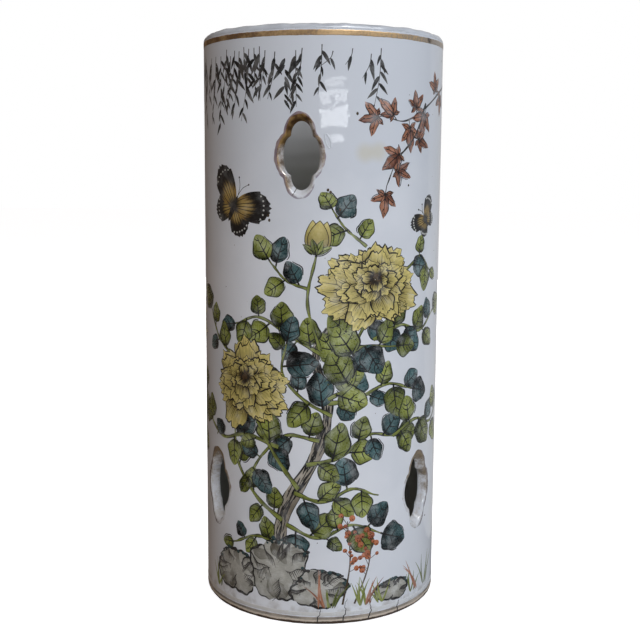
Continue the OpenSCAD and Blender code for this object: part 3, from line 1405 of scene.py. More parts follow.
@dataclass
class Painting:
    """Enamel laid on the glaze dab by dab, each over what is already there and none across an opening."""

    tube: Tube
    openings: Sequence[Opening]
    step: float = 0.012
    root: float = 0.03
    margin: float = 2.2
    cell: float = 0.6
    reach: int = 1
    map_cycle: int = 997
    left_out: int = 0

    def __post_init__(self) -> None:
        """Starts with bare glaze."""
        sizes = self.tube.sizes
        girth = round(2 * math.pi * sizes.radius / self.cell)
        self.relief = np.full((round(sizes.height / self.cell) + 1, girth), self.step)
        self.drafts = {layer: MeshDraft() for layer in Layer}

    def lay(self, layer: Layer, places: Array, colours: Array, line: bool = False) -> bool:
        """Lays one dab: a grid draped over what lies below and near it, with its rim rooted in the glaze.

        Args:
            layer: The painted piece that it belongs to.
            places: Arc length and height, shape (rows, columns, 2).
            colours: Linear colours, shape (rows, columns, 3), or one colour.
            line: Whether it is a thin line, which lies half a step up and lifts nothing laid later.

        Returns:
            False if an opening is in its way and it is left out.
        """
        if any(opening.covers(places, self.margin) for opening in self.openings):
            self.left_out += 1
            return False
        tall, girth = self.relief.shape
        near = np.arange(-self.reach, self.reach + 1)
        cells = np.round(places / self.cell).astype(int)
        rows = np.clip(cells[..., 1, None, None] + near[:, None], 0, tall - 1)
        columns = (cells[..., 0, None, None] + near) % girth
        lift = self.relief[rows, columns].max(axis=(-2, -1)) + self.step * (0.5 if line else 1.0)
        if not line:
            marks = np.round(finer(places) / self.cell).astype(int)
            marked = (np.clip(marks[..., 1], 0, tall - 1), marks[..., 0] % girth)
            np.maximum.at(self.relief, marked, finer(lift[..., None])[..., 0])
        draft = self.drafts[layer]
        collar = ((1, 1), (1, 1), (0, 0))
        draped = np.pad(places, collar, mode="edge")
        height = np.full(draped.shape[:2], -self.root)
        height[1:-1, 1:-1] = lift
        paint = np.pad(np.broadcast_to(colours, (*places.shape[:2], 3)), collar, mode="edge")
        down = travelled(draped[:, draped.shape[1] // 2])
        side = travelled(draped[draped.shape[0] // 2])
        spans = np.stack(np.meshgrid(down, side, indexing="ij"), axis=-1) + draft.count % self.map_cycle
        ahead = np.append(places[1, 0] - places[0, 0], 0)
        aside = np.append(places[0, 1] - places[0, 0], 0)
        mirrored = np.cross(ahead, aside)[2] > 0
        draft.grid(self.tube.scroll(draped, height), flip=mirrored, colours=paint, spans=spans)
        return True

    def stroke(self, layer: Layer, path: Array, width: Numbers, paint: Paint, tone: Numbers) -> None:
        """A brush line along a path.

        Args:
            layer: The painted piece.
            path: Samples, shape (count, 2).
            width: Width, or the width at each sample.
            paint: Pigment.
            tone: Its tone, or the tone at each sample.
        """
        half = np.broadcast_to(np.asarray(width, float) / 2, len(path))[:, None] * sideways(path)
        places = np.stack([path - half, path + half], axis=1)
        shade = np.broadcast_to(np.asarray(tone, float), len(path))
        self.lay(layer, places, paint.tone(np.stack([shade, shade], axis=1)), line=True)

    def pressed(self, layer: Layer, path: Array, width: float, paint: Paint, tone: float) -> None:
        """A brush line that is pressed in its first half and lifted to thin ends, as stroke takes it."""
        t = np.linspace(0, 1, len(path))
        self.stroke(layer, path, width * (0.2 + 0.8 * np.sin(np.pi * t**0.8) ** 0.7), paint, tone)

    def blob(
        self, layer: Layer, centre: Place, across: float, up: float, paint: Paint, tone: float,
        steps: int = 5, outline: Optional[Callable[[Array], Array]] = None,
    ) -> None:
        """A dab with a round outline: a square grid pressed into a disc.

        Args:
            layer: The painted piece.
            centre: Its middle.
            across: Half its width.
            up: Half its height.
            paint: Pigment.
            tone: Tone at its middle; its rim is a little deeper and its top a little paler.
            steps: Points along its grid.
            outline: Share of the radius at an angle, or None for 1.
        """
        u, v = np.meshgrid(np.linspace(-1, 1, steps), np.linspace(-1, 1, steps), indexing="ij")
        x = u * np.sqrt(1 - v * v / 2)
        y = v * np.sqrt(1 - u * u / 2)
        share = 1.0 if outline is None else outline(np.arctan2(y, x))
        places = np.stack([centre[0] + across * x * share, centre[1] + up * y * share], axis=-1)
        self.lay(layer, places, paint.tone(tone - 0.22 * (x * x + y * y) + 0.16 * y))

    def build(self) -> None:
        """Makes one piece of each painted layer that has dabs."""
        for layer, draft in self.drafts.items():
            if not draft.count:
                continue
            name, unevenness, thinness, gloss = layer.value
            finish = EnamelFinish(name + "_enamel", unevenness, thinness, gloss)
            dress(draft.build(name, finish.material()), Slot.ENAMEL)
        LOG.info("dabs left out at the openings: %d; highest dab %.3f mm", self.left_out, self.relief.max())


@dataclass(frozen=True)
class Blade:
    """A leaf's shape: a bent midrib with a width that swells and comes to a point."""

    base: Place
    angle: float
    length: float
    width: float
    bend: float = 0.0
    fullness: float = 0.8
    blunt: float = 0.8
    ripple: float = 0.0

    def at(self, u: Array, v: Array) -> Array:
        """Places on the blade: along the midrib, then sideways by a share of the half-width.

        Args:
            u: 0 at the base to 1 at the tip.
            v: -1 at the right margin to 1 at the left one.

        Returns:
            Places, with arc length and height on the last axis.
        """
        u, v = np.broadcast_arrays(np.asarray(u, float), np.asarray(v, float))
        swell = np.abs(np.sin(np.pi * np.clip(u, 0, 1) ** self.fullness)) ** self.blunt
        wave = 1 + self.ripple * np.sin(11 * u + 2.5 * np.sign(v) + self.length)
        half = np.maximum(self.width / 2 * swell * wave, 0.05)
        middle = self.bend * self.length * u * u
        along = self.length * u - 0.5 * self.bend * self.length * u * v * swell * self.width / self.length
        return self.base + spread(self.angle, along, middle + v * half)


@dataclass
class Flora(Painting):
    """Plants and creatures that the brush paints, with chance in their small differences."""

    seed: int = 11

    def __post_init__(self) -> None:
        """Starts with bare glaze and with seeded chance."""
        super().__post_init__()
        self.rng = np.random.default_rng(self.seed)

    def leaf(self, blade: Blade, paint: Paint, pairs: int = 3, layer: Layer = Layer.LEAVES) -> None:
        """A leaf: a wash that pools unevenly, under bold ink veins and a broken outline.

        Args:
            blade: Its shape.
            paint: Its wash.
            pairs: Pairs of side veins.
            layer: The painted piece of the wash.
        """
        rng = self.rng
        u = 0.5 - 0.5 * np.cos(np.linspace(0, np.pi, max(11, round(blade.length / 1.2))))[:, None]
        v = np.linspace(-1, 1, max(5, round(blade.width / 1.3) | 1))[None, :]
        side, start = rng.choice([-1, 1]), rng.uniform(0, 6)
        pool = 0.24 * np.sin(3.4 * u + start) * np.cos(2.4 * v + start) - 0.5 * np.exp(-((u / 0.2) ** 2))
        shadow = ease(-0.3, 0.9, side * v + 0.35 * np.sin(4 * u + start))
        depth = rng.uniform(0.1, 1.1 if paint is Paint.TEAL else 0.5)
        tone = rng.uniform(0.36, 0.86) + pool - depth * shadow - 0.25 * v**8
        if not self.lay(layer, blade.at(u, v) + rng.normal(0, 0.2, 2), paint.tone(tone)):
            return
        lines = Layer.VEINS if layer is Layer.LEAVES else layer
        thick = 0.34 + 0.03 * blade.width
        t = np.linspace(-0.1, rng.uniform(0.82, 1.0), 14)
        self.stroke(lines, blade.at(t, 0 * t), thick * (1.3 - t), Paint.INK, -0.2)
        s = np.linspace(0, 1, 7)
        for i in range(pairs):
            for hand in (-1, 1):
                begin = max(0.02, 0.08 + 0.6 * (i + rng.uniform(-0.25, 0.25)) / max(pairs - 1, 1))
                run = blade.at(begin + rng.uniform(0.14, 0.28) * s, hand * rng.uniform(0.7, 0.96) * s**0.8)
                self.stroke(lines, run, thick * (0.95 - 0.7 * s), Paint.INK, -0.15)
        for hand in (-1, 1):
            first, last = rng.uniform(0, 0.25), rng.uniform(0.65, 1.0)
            t = first + (last - first) * (0.5 - 0.5 * np.cos(np.linspace(0, np.pi, 18)))
            run = blade.at(t, hand * rng.uniform(0.95, 1.07) + 0 * t)
            self.pressed(lines, run, thick * rng.uniform(0.6, 1.1), Paint.INK, -0.1)

    def bough(
        self, points: Way, width: float, size: float, paints: Sequence[Paint], gap: float = 7.5
    ) -> None:
        """A green bough with round leaves by turns on its two sides, and one at its tip.

        Args:
            points: Places on the bough's way.
            width: Its width at its foot.
            size: Length of a leaf.
            paints: Washes, of which each leaf takes one.
            gap: Distance between leaves.
        """
        rng = self.rng
        self.stem(points, width, width * 0.5, Paint.GREEN)
        path = curve(points, 60)
        run = travelled(path)
        places = np.append(np.arange(gap * 0.6, run[-1] - gap * 0.4, gap), run[-1])
        for i, place in enumerate(places):
            k = int(np.clip(np.searchsorted(run, place), 1, 59))
            ahead = math.degrees(math.atan2(*(path[k] - path[k - 1])[::-1]))
            hand = 0 if i == len(places) - 1 else (1 if i % 2 else -1)
            angle = ahead + hand * rng.uniform(40, 85) + rng.uniform(-10, 10)
            foot = path[k] + heading(angle) * rng.uniform(0.8, 2.6)
            self.stroke(Layer.STEMS, np.linspace(path[k], foot, 5), 0.8, Paint.GREEN, 0.3)
            length = size * rng.uniform(0.66, 1.2)
            shape = Blade(
                foot, angle, length, length * rng.uniform(0.7, 0.95), rng.uniform(-0.14, 0.14),
                rng.uniform(0.66, 0.84), 0.62, 0.08,
            )
            self.leaf(shape, paints[rng.integers(len(paints))])

    def peony(self, centre: Place, radius: float, turn: float, flatten: float = 0.86) -> None:
        """A tree peony in flower: rings of ruffled petals, the inner over the outer, and a tuft.

        A petal widens from its base and ends in a rippled edge.

        Args:
            centre: Middle of the flower.
            radius: Its radius.
            turn: Direction in degrees that it leans to.
            flatten: Its height as a share of its width.
        """
        whorls = (
            (9, 0.30, 0.74, 0.34), (9, 0.2, 0.66, 0.31), (8, 0.12, 0.55, 0.27), (7, 0.06, 0.42, 0.22),
            (6, 0.02, 0.28, 0.15),
        )
        lean = heading(turn)
        for ring, (count, *shape) in enumerate(whorls):
            middle = np.asarray(centre) + lean * radius * 0.05 * ring
            first = self.rng.uniform(0, 360)
            for i in self.rng.permutation(count):
                angle = first + 360 * i / count + self.rng.uniform(-12, 12)
                scale = radius * self.rng.uniform(0.84, 1.14)
                self.petal(middle, angle, scale * np.array(shape), flatten, ring / len(whorls))
        tip = np.asarray(centre) + lean * radius * 0.22
        for _ in range(16):
            off = self.rng.normal(0, radius * 0.055, 2)
            self.blob(Layer.PETAL_LINES, tip + off, 0.55, 0.5, Paint.UMBER, 0.6, 4)

    def petal(self, middle: Array, angle: float, shape: Array, flatten: float, depth: float) -> None:
        """One petal, with its dark outline and fine lines.

        Args:
            middle: Middle of the flower.
            angle: Direction of the petal.
            shape: Distance of its base from the middle, its length and half its width.
            flatten: Height of the flower as a share of its width.
            depth: 0 for the outer ring to 1 for the middle.
        """
        start, length, width = shape
        u, v = net(11, 15)
        p = self.rng.uniform(0, 2 * np.pi, 4)
        ruffle = 0.07 * np.cos(2.4 * np.pi * v + p[0]) + 0.05 * np.cos(5.2 * np.pi * v + p[1])
        edge = 1 - 0.34 * np.abs(v) ** 2.4 + ruffle
        along = start + length * u * edge
        across = v * width * (0.16 + 0.84 * np.sin(np.pi / 2 * u**0.75)) * (1 - 0.1 * u**6)
        places = spread(angle, along, across + 0.12 * width * np.sin(3 * u + p[3]))
        places = middle + places * np.array([1, flatten])
        streaks = 0.14 * np.cos(7 * np.pi * v + p[2]) * u
        tone = 1.1 * u**0.8 - 0.15 - 0.4 * np.abs(v) ** 4 - 0.16 * depth + streaks
        if not self.lay(Layer.PETALS, places, Paint.YELLOW.tone(tone)):
            return
        rim = np.concatenate([places[3:, 0], places[-1, 1:-1], places[:2:-1, -1]])
        share = np.linspace(0, 1, len(rim))
        self.stroke(Layer.PETAL_LINES, rim, 0.54 + 0.3 * np.sin(9 * share + p[0]), Paint.UMBER, -0.3)
        for column in range(1, 14):
            line = places[1 : int(self.rng.integers(4, 11)), column]
            self.stroke(Layer.PETAL_LINES, line, np.linspace(0.55, 0.12, len(line)), Paint.UMBER, 0.0)

    def bud(self, base: Place, angle: float, size: float) -> None:
        """A closed flower: a few petals wrapped over each other in green sepals.

        Args:
            base: Its foot.
            angle: Direction that it points to.
            size: Its length.
        """
        u, v = net(14, 9)
        for turn, wide in ((-22, 0.5), (22, 0.5), (0, 0.62)):
            places = Blade(base, angle + turn, size, size * wide, -0.008 * turn, 0.85).at(u, v)
            self.lay(Layer.PETALS, places, Paint.YELLOW.tone(0.2 + 0.7 * u - 0.2 * v * v))
            rim = np.concatenate([places[:, 0], places[::-1, -1]])
            self.stroke(Layer.PETAL_LINES, rim[1:-1], 0.36, Paint.UMBER, 0.15)
        for turn in (-48, 48, -16, 18):
            self.leaf(Blade(base, angle + turn, size * 0.5, size * 0.2, 0.004 * turn), Paint.GREEN, 0)

    def stem(self, points: Way, width: float, tip: float, paint: Paint) -> None:
        """A stem that thins towards its tip, with ink along its sides.

        Args:
            points: Places on its way.
            width: Width at its foot.
            tip: Width at its tip.
            paint: Pigment.
        """
        path = curve(points, 16 * (len(points) - 1))
        t = np.linspace(0, 1, len(path))
        wide = width + (tip - width) * t + 0.12 * width * np.sin(31 * t)
        across = np.linspace(-0.5, 0.5, 4)[None, :, None]
        aside = sideways(path) * wide[:, None]
        tone = 0.5 + 0.4 * across[..., 0] + 0.16 * np.sin(23 * t)[:, None]
        self.lay(Layer.STEMS, path[:, None] + across * aside[:, None], paint.tone(tone))
        for hand in (-0.5, 0.5):
            edge = path + hand * aside
            for start in range(0, len(path) - 8, 11):
                run = edge[start : start + int(self.rng.integers(8, 15))]
                self.pressed(Layer.STEMS, run, 0.3 + 0.1 * width * self.rng.random(), Paint.INK, 0.1)

    def bark(self, points: Way, width: float, marks: int) -> None:
        """Ink on an old trunk: short strokes along it, and knots.

        Args:
            points: Places on the trunk's way.
            width: Its width.
            marks: Number of strokes.
        """
        path = curve(points, 160)
        aside = sideways(path)
        for k in self.rng.integers(0, 146, marks):
            off = self.rng.uniform(-0.4, 0.4) + np.linspace(0, self.rng.uniform(-0.25, 0.25), 9)
            run = path[k : k + 9] + aside[k : k + 9] * off[:, None] * width
            tone = self.rng.uniform(-0.3, 0.6)
            self.pressed(Layer.STEMS, run, self.rng.uniform(0.3, 0.95), Paint.INK, tone)
        a = np.linspace(0, 5.4, 14)
        for k in (30, 78, 120):
            ring = np.stack([0.24 * width * np.cos(a), 0.36 * width * np.sin(a)], axis=1)
            self.pressed(Layer.STEMS, path[k] + ring, 0.5, Paint.INK, 0.05)

    def maple_twig(self, points: Way, leaves: Sequence[tuple[float, float, float]]) -> None:
        """A twig of maple; each leaf has five pointed lobes from one place, on a thin stalk.

        Args:
            points: Places on the twig's way.
            leaves: Share of the way, direction and size of each leaf.
        """
        path = curve(points, 40)
        t = np.linspace(0, 1, 40)
        self.stroke(Layer.MAPLE, path, 1.2 - 0.7 * t + 0.2 * np.sin(29 * t), Paint.INK, 0.25)
        for share, angle, size in leaves:
            at = path[min(39, round(share * 39))]
            end = at + size * 0.4 * heading(angle)
            self.stroke(Layer.MAPLE, np.linspace(at, end, 6), 0.45, Paint.INK, 0.3)
            for turn, part in ((-118, 0.5), (118, 0.5), (-58, 0.82), (58, 0.82), (0, 1.0)):
                lobe = size * part * self.rng.uniform(0.86, 1.12)
                tip = angle + turn + self.rng.uniform(-9, 9)
                shape = Blade(end, tip, lobe, lobe * 0.44, 0, 0.75, 0.8, 0.12)
                self.leaf(shape, Paint.RUST, 2, Layer.MAPLE)

    def willow(self, top: Place, length: float, sway: float) -> None:
        """A hanging willow shoot with narrow leaves in ink.

        Args:
            top: Where it hangs from.
            length: Its length.
            sway: How far its tip hangs aside.
        """
        x, y = top
        path = curve([top, (x + sway * 0.2, y - length * 0.45), (x + sway, y - length)], 30)
        self.stroke(Layer.WILLOW, path, np.linspace(0.5, 0.2, 30), Paint.INK, 0.5)
        count = round(length / 2.9)
        u, v = net(9, 4)
        for i in range(1, count):
            at = path[round(29 * i / count)]
            hand = self.rng.choice((-1, 1))
            size = self.rng.uniform(5, 9) * (1.1 - 0.4 * i / count)
            bend = -0.2 * hand * self.rng.random()
            shape = Blade(at, -90 + hand * self.rng.uniform(12, 52), size, size * 0.23, bend, 0.7)
            tone = self.rng.uniform(-0.3, 0.5) + 0.4 * u
            self.lay(Layer.WILLOW, shape.at(u, v), Paint.INK.tone(tone + 0 * v))

    def stone(self, centre: Place, across: float, up: float, corners: int = 11) -> None:
        """A garden rock: a pale wash with a bold broken outline, folds with hatching, and moss.

        Its radius runs straight from corner to corner of an uneven ring.

        Args:
            centre: Its middle.
            across: Half its width.
            up: Half its height.
            corners: Corners of its outline.
        """
        rng = self.rng
        angles = (np.arange(corners) + rng.uniform(-0.3, 0.3, corners)) * 2 * np.pi / corners
        radii = rng.uniform(0.76, 1.06, corners)

        def rim(angle: Array) -> Array:
            """Share of the rock's radius at an angle."""
            return np.interp(angle, angles, radii, period=2 * np.pi) + 0.02 * np.sin(19 * angle)

        def at(angle: Array, share: Numbers = 1.0) -> Array:
            """Places on the rock.

            Args:
                angle: Angles round its middle.
                share: Share of the way out to the rim.

            Returns:
                Places, shape (count, 2).
            """
            reach = rim(angle) * share
            x = centre[0] + across * reach * np.cos(angle)
            return np.stack([x, centre[1] + up * reach * np.sin(angle)], axis=1)

        self.blob(Layer.STONES, centre, across, up, Paint.STONE, 0.82, max(13, round(1.6 * across)), rim)
        u, v = net(12, 9)
        for angle in rng.uniform(0, 2 * np.pi, 8):
            spot = at(np.array([angle]), 0.94)[0]
            inward = math.degrees(math.atan2(centre[1] - spot[1], centre[0] - spot[0])) + rng.uniform(-35, 35)
            long = (across + up) / 2 * rng.uniform(0.4, 0.85)
            facet = Blade(spot, inward, long, long * rng.uniform(0.35, 0.6), 0, 0.6, 0.7, 0.12)
            tone = rng.uniform(-0.1, 0.4) + 0.6 * u - 0.15 * v * v
            self.lay(Layer.STONES, facet.at(u, v), Paint.STONE.tone(tone))
        for i in range(corners):
            run = np.linspace(angles[i] - 0.05, angles[i] + 2 * np.pi / corners * rng.uniform(0.8, 1.3), 12)
            self.pressed(Layer.STONE_LINES, at(run), rng.uniform(0.7, 1.6), Paint.INK, 0.08)
        for angle in np.append(angles[::2], rng.uniform(0, 2 * np.pi, corners // 2)):
            share = np.linspace(0.98, rng.uniform(0.25, 0.6), 12)
            fold = at(angle + rng.uniform(-0.5, 0.5) * (1 - share) + 0.06 * np.sin(11 * share), share)
            self.stroke(Layer.STONE_LINES, fold, np.linspace(rng.uniform(0.6, 1.2), 0.2, 12), Paint.INK, 0.2)
            lean = heading(rng.uniform(200, 340))
            for k in range(1, 11):
                hatch = np.linspace(fold[k], fold[k] + lean * rng.uniform(1.2, 0.3 * up), 5)
                tone = rng.uniform(0.3, 1.0)
                self.stroke(Layer.STONE_LINES, hatch, np.linspace(0.5, 0.12, 5), Paint.INK, tone)
        for angle in rng.uniform(0.1, np.pi - 0.1, round(across * 1.4)):
            spot = at(np.array([angle]), rng.uniform(0.9, 1.06))[0]
            size = rng.uniform(0.5, 1.0)
            paint = Paint.TEAL if rng.random() < 0.6 else Paint.INK
            self.blob(Layer.STONE_LINES, spot, size * 1.2, size, paint, 0.4, 4)

    def berries(self, foot: Place, tip: Place, count: int) -> None:
        """A stalk of coral berries, each a quick dab on a short stem.

        Args:
            foot: Foot of the stalk.
            tip: Its tip.
            count: Number of berries.
        """
        start, end = np.asarray(foot, float), np.asarray(tip, float)
        path = curve([foot, (start + end) / 2 + [2.5, 0], tip], 24)
        self.stroke(Layer.STEMS, path, np.linspace(1.0, 0.4, 24), Paint.UMBER, 0.4)
        for i in range(count):
            at = path[round(23 * (0.4 + 0.6 * i / count))]
            out = at + heading(self.rng.uniform(10, 170)) * self.rng.uniform(2, 6.5)
            self.stroke(Layer.STEMS, np.linspace(at, out, 5), 0.3, Paint.UMBER, 0.3)
            size = self.rng.uniform(0.9, 1.6)
            tall = size * self.rng.uniform(0.8, 1.1)
            self.blob(Layer.BERRIES, out, size, tall, Paint.CORAL, self.rng.uniform(0.3, 1.0), 5)
            self.blob(Layer.BERRIES, (out[0] + 0.3, out[1] - 0.4 * tall), 0.3, 0.3, Paint.UMBER, 0.1, 4)

    def grass(self, foot: Place, count: int, length: float, paint: Paint) -> None:
        """A tuft of grass.

        Args:
            foot: Its foot.
            count: Number of blades.
            length: Length of a blade.
            paint: Pigment.
        """
        u, v = net(12, 3)
        for _ in range(count):
            x = foot[0] + self.rng.normal(0, 1.2)
            size = length * self.rng.uniform(0.6, 1.1)
            angle = self.rng.uniform(58, 122)
            shape = Blade((x, foot[1]), angle, size, 1.1, self.rng.uniform(-0.35, 0.35), 0.55)
            self.lay(Layer.GRASS, shape.at(u, v), paint.tone(self.rng.uniform(0.2, 0.8) + 0.2 * v + 0 * u))

    def butterfly(self, centre: Place, span: float, angle: float) -> None:
        """A butterfly from above: four dark-edged wings with pale cells, a body and feelers.

        Args:
            centre: Its middle.
            span: Span of its wings.
            angle: Direction of its head.
        """
        middle = np.asarray(centre, float)
        for hand in (-1, 1):
            for turn, length, wide in ((128, 0.36, 0.3), (62, 0.52, 0.36)):
                self.wing(middle, angle + hand * turn, span * length, span * wide / 2)
        shape = Blade(middle - heading(angle) * span * 0.2, angle, span * 0.34, span * 0.075, 0, 0.8)
        u, v = net(12, 5)
        self.lay(Layer.BUTTERFLIES, shape.at(u, v), Paint.INK.tone(0.2 + 0.2 * np.sin(40 * u) + 0 * v))
        head = middle + heading(angle) * span * 0.14
        for hand in (-1, 1):
            out = head + heading(angle + hand * 24) * span * 0.2
            bent = (head + out) / 2 + heading(angle - hand * 66) * span * 0.02
            path = curve([head, bent, out], 10)
            self.stroke(Layer.BUTTERFLIES, path, 0.28, Paint.INK, 0.1)
            self.blob(Layer.BUTTERFLIES, out, 0.45, 0.45, Paint.INK, 0.2, 4)

    def wing(self, middle: Array, angle: float, length: float, width: float) -> None:
        """One wing: a scalloped fan, black towards its edge, with veins and pale dots.

        Args:
            middle: Where it joins the body.
            angle: Its direction.
            length: Its length.
            width: Half its width.
        """
        u, v = net(16, 15)
        edge = 1 - 0.3 * np.abs(v) ** 2.2 + 0.035 * np.cos(6 * np.pi * v)
        along = length * u * edge
        across = v * width * (0.1 + 0.9 * np.sin(np.pi / 2 * u**0.7))
        places = middle + spread(angle, along, across)
        dark = ease(0.42, 0.62, u + 0.1 * np.abs(v) + 0.06 * np.cos(7 * np.pi * v))
        dark = np.maximum(dark, 1 - ease(0.05, 0.3, u + 0 * v))[..., None]
        colours = Paint.OCHRE.tone(0.6 - 0.5 * np.abs(v) + 0 * u) * (1 - dark) + Paint.INK.tone(0.05) * dark
        self.lay(Layer.BUTTERFLIES, places, colours)
        for column in (2, 5, 7, 9, 12):
            self.stroke(Layer.BUTTERFLIES, places[1:14, column], 0.36, Paint.INK, 0.05)
        for column in (2, 4, 6, 8, 10, 12):
            self.blob(Layer.BUTTERFLIES, places[13, column], 0.45, 0.45, Paint.WHITE, 0.4, 4)


@dataclass
class GardenScene:
    """The painted garden: peonies over a rock, maple, willow, berries and butterflies."""

    flora: Flora
    mixed: Sequence[Paint] = (Paint.GREEN, Paint.GREEN, Paint.TEAL)
    cool: Sequence[Paint] = (Paint.TEAL, Paint.GREEN)
    turf: float = 8.5

    def build(self) -> None:
        """Paints the garden, from what lies behind to what lies in front."""
        for part in (self.willow_shoots, self.maple, self.peonies, self.ground, self.creatures, self.back):
            part()

    def willow_shoots(self) -> None:
        """Willow that hangs under the gilt band, in loose clumps."""
        flora = self.flora
        x = -88.0
        while x < 34:
            longest = 13 if 4 < x < 30 else 36
            top = (x, flora.rng.uniform(271, 275))
            flora.willow(top, longest * flora.rng.uniform(0.5, 1.0), flora.rng.uniform(-9, 2))
            x += flora.rng.choice((3.0, 5.0, 9.0))

    def maple(self) -> None:
        """A maple bough that comes in from the upper right."""
        flora = self.flora
        flora.maple_twig(
            [(92, 262), (76, 257), (58, 248), (44, 242), (32, 244)],
            [(0.2, 260, 9), (0.32, 110, 9), (0.45, 250, 11), (0.58, 100, 9), (0.7, 280, 11), (0.84, 130, 9),
             (1.0, 190, 10)],
        )
        flora.maple_twig(
            [(60, 251), (52, 236), (40, 224), (34, 212)],
            [(0.35, 340, 9), (0.55, 210, 11), (0.78, 330, 9), (1.0, 260, 11)],
        )

    def peonies(self) -> None:
        """The tree peony: trunk, boughs, leaves, two flowers and a bud."""
        flora = self.flora
        mixed, cool = self.mixed, self.cool
        trunk = [(-20, 30), (-14, 58), (0, 84), (6, 108), (0, 132), (8, 150)]
        flora.stem(trunk, 8.0, 2.6, Paint.BARK)
        flora.bark(trunk, 5.0, 150)
        for points, width, size, paints in (
            ([(-18, 40), (-30, 42), (-44, 36)], 1.8, 12, mixed),
            ([(-14, 50), (2, 44), (18, 50), (34, 44)], 1.8, 13, cool),
            ([(-16, 52), (-30, 62), (-42, 78), (-44, 94)], 2.2, 15, mixed),
            ([(-10, 66), (4, 62), (18, 68), (30, 64)], 2.0, 14, cool),
            ([(-4, 80), (12, 84), (26, 94), (40, 92)], 2.0, 15, cool),
            ([(2, 92), (-14, 94), (-26, 84), (-34, 72)], 1.8, 14, cool),
            ([(6, 110), (20, 112), (36, 118), (52, 114)], 2.0, 15, cool),
            ([(4, 118), (16, 134), (26, 152)], 2.4, 14, mixed),
            ([(2, 134), (-12, 142), (-28, 150), (-42, 146)], 1.8, 13, mixed),
            ([(-18, 88), (-36, 92), (-54, 88), (-70, 96)], 2.0, 14, cool),
            ([(28, 140), (44, 146), (58, 142), (72, 150)], 1.7, 13, mixed),
            ([(8, 104), (-6, 112), (-16, 124), (-14, 138)], 1.7, 14, cool),
            ([(6, 112), (18, 120), (20, 136), (40, 136)], 1.8, 15, mixed),
            ([(40, 92), (56, 98), (72, 94), (86, 102)], 1.7, 14, mixed),
            ([(-46, 130), (-58, 138), (-66, 150)], 1.6, 13, mixed),
            ([(24, 184), (14, 192), (8, 200)], 1.4, 12, cool),
            ([(46, 172), (58, 178), (66, 172)], 1.4, 12, mixed),
            ([(-3, 164), (-14, 168), (-22, 176)], 1.4, 12, mixed),
        ):
            flora.bough(points, width, size, paints)
        flora.stem([(-8, 68), (-20, 84), (-32, 104)], 2.2, 1.3, Paint.GREEN)
        flora.stem([(2, 136), (-4, 158), (0, 180)], 1.6, 1.0, Paint.GREEN)
        flora.peony((-36, 116), 23, 100)
        flora.peony((28, 164), 24, 80)
        flora.bud((0, 180), 84, 16)

    def ground(self) -> None:
        """Rocks, berries and grass at the foot."""
        flora = self.flora
        rocks = (((-42, 22), 17, 13), ((-18, 27), 16, 19), ((2, 18), 14, 10), ((42, 14), 12, 6))
        for centre, across, up in rocks:
            flora.stone(centre, across, up)
        flora.berries((14, 10), (16, 52), 20)
        flora.berries((20, 10), (29, 46), 16)
        tufts = ((8, 5, 14), (24, 6, 16), (34, 5, 12), (-58, 5, 14), (56, 4, 13), (68, 5, 16))
        for x, count, length in tufts:
            flora.grass((x, self.turf), count, length, Paint.GREEN)
        for x in (5, 27, 60):
            flora.grass((x, self.turf), 3, 18, Paint.RUST)

    def creatures(self) -> None:
        """Butterflies round the flowers."""
        flora = self.flora
        flora.butterfly((-44, 202), 42, 60)
        flora.butterfly((62, 196), 24, 130)

    def back(self) -> None:
        """A sparser garden on the sides and the back."""
        flora = self.flora
        mixed, cool = self.mixed, self.cool
        trunk = [(-96, 12), (-100, 50), (-92, 92), (-98, 128)]
        flora.stem(trunk, 3.4, 1.6, Paint.BARK)
        flora.bark(trunk, 2.2, 40)
        for points in ([(-99, 56), (-112, 64), (-122, 80)], [(-94, 84), (-82, 92), (-78, 108)]):
            flora.bough(points, 1.8, 14, mixed)
        flora.bough([(-94, 104), (-108, 112), (-120, 126)], 1.6, 13, mixed)
        flora.peony((-100, 142), 20, 90)
        flora.stone((-106, 18), 15, 10)
        flora.stone((140, 20), 16, 12)
        flora.bough([(140, 28), (132, 70), (142, 112), (134, 150)], 2.4, 15, mixed, 10)
        flora.bough([(136, 80), (152, 92), (160, 112)], 1.8, 14, cool)
        flora.butterfly((160, 176), 26, 70)
        flora.butterfly((-166, 190), 24, 110)
        flora.bough([(-160, 12), (-152, 60), (-160, 110)], 2.2, 15, mixed, 11)
        flora.bud((-160, 110), 95, 18)
        for x in (-120, -90, 110, 124, 152, 170, -172, -148):
            flora.grass((x, self.turf), 5, 14, Paint.GREEN)


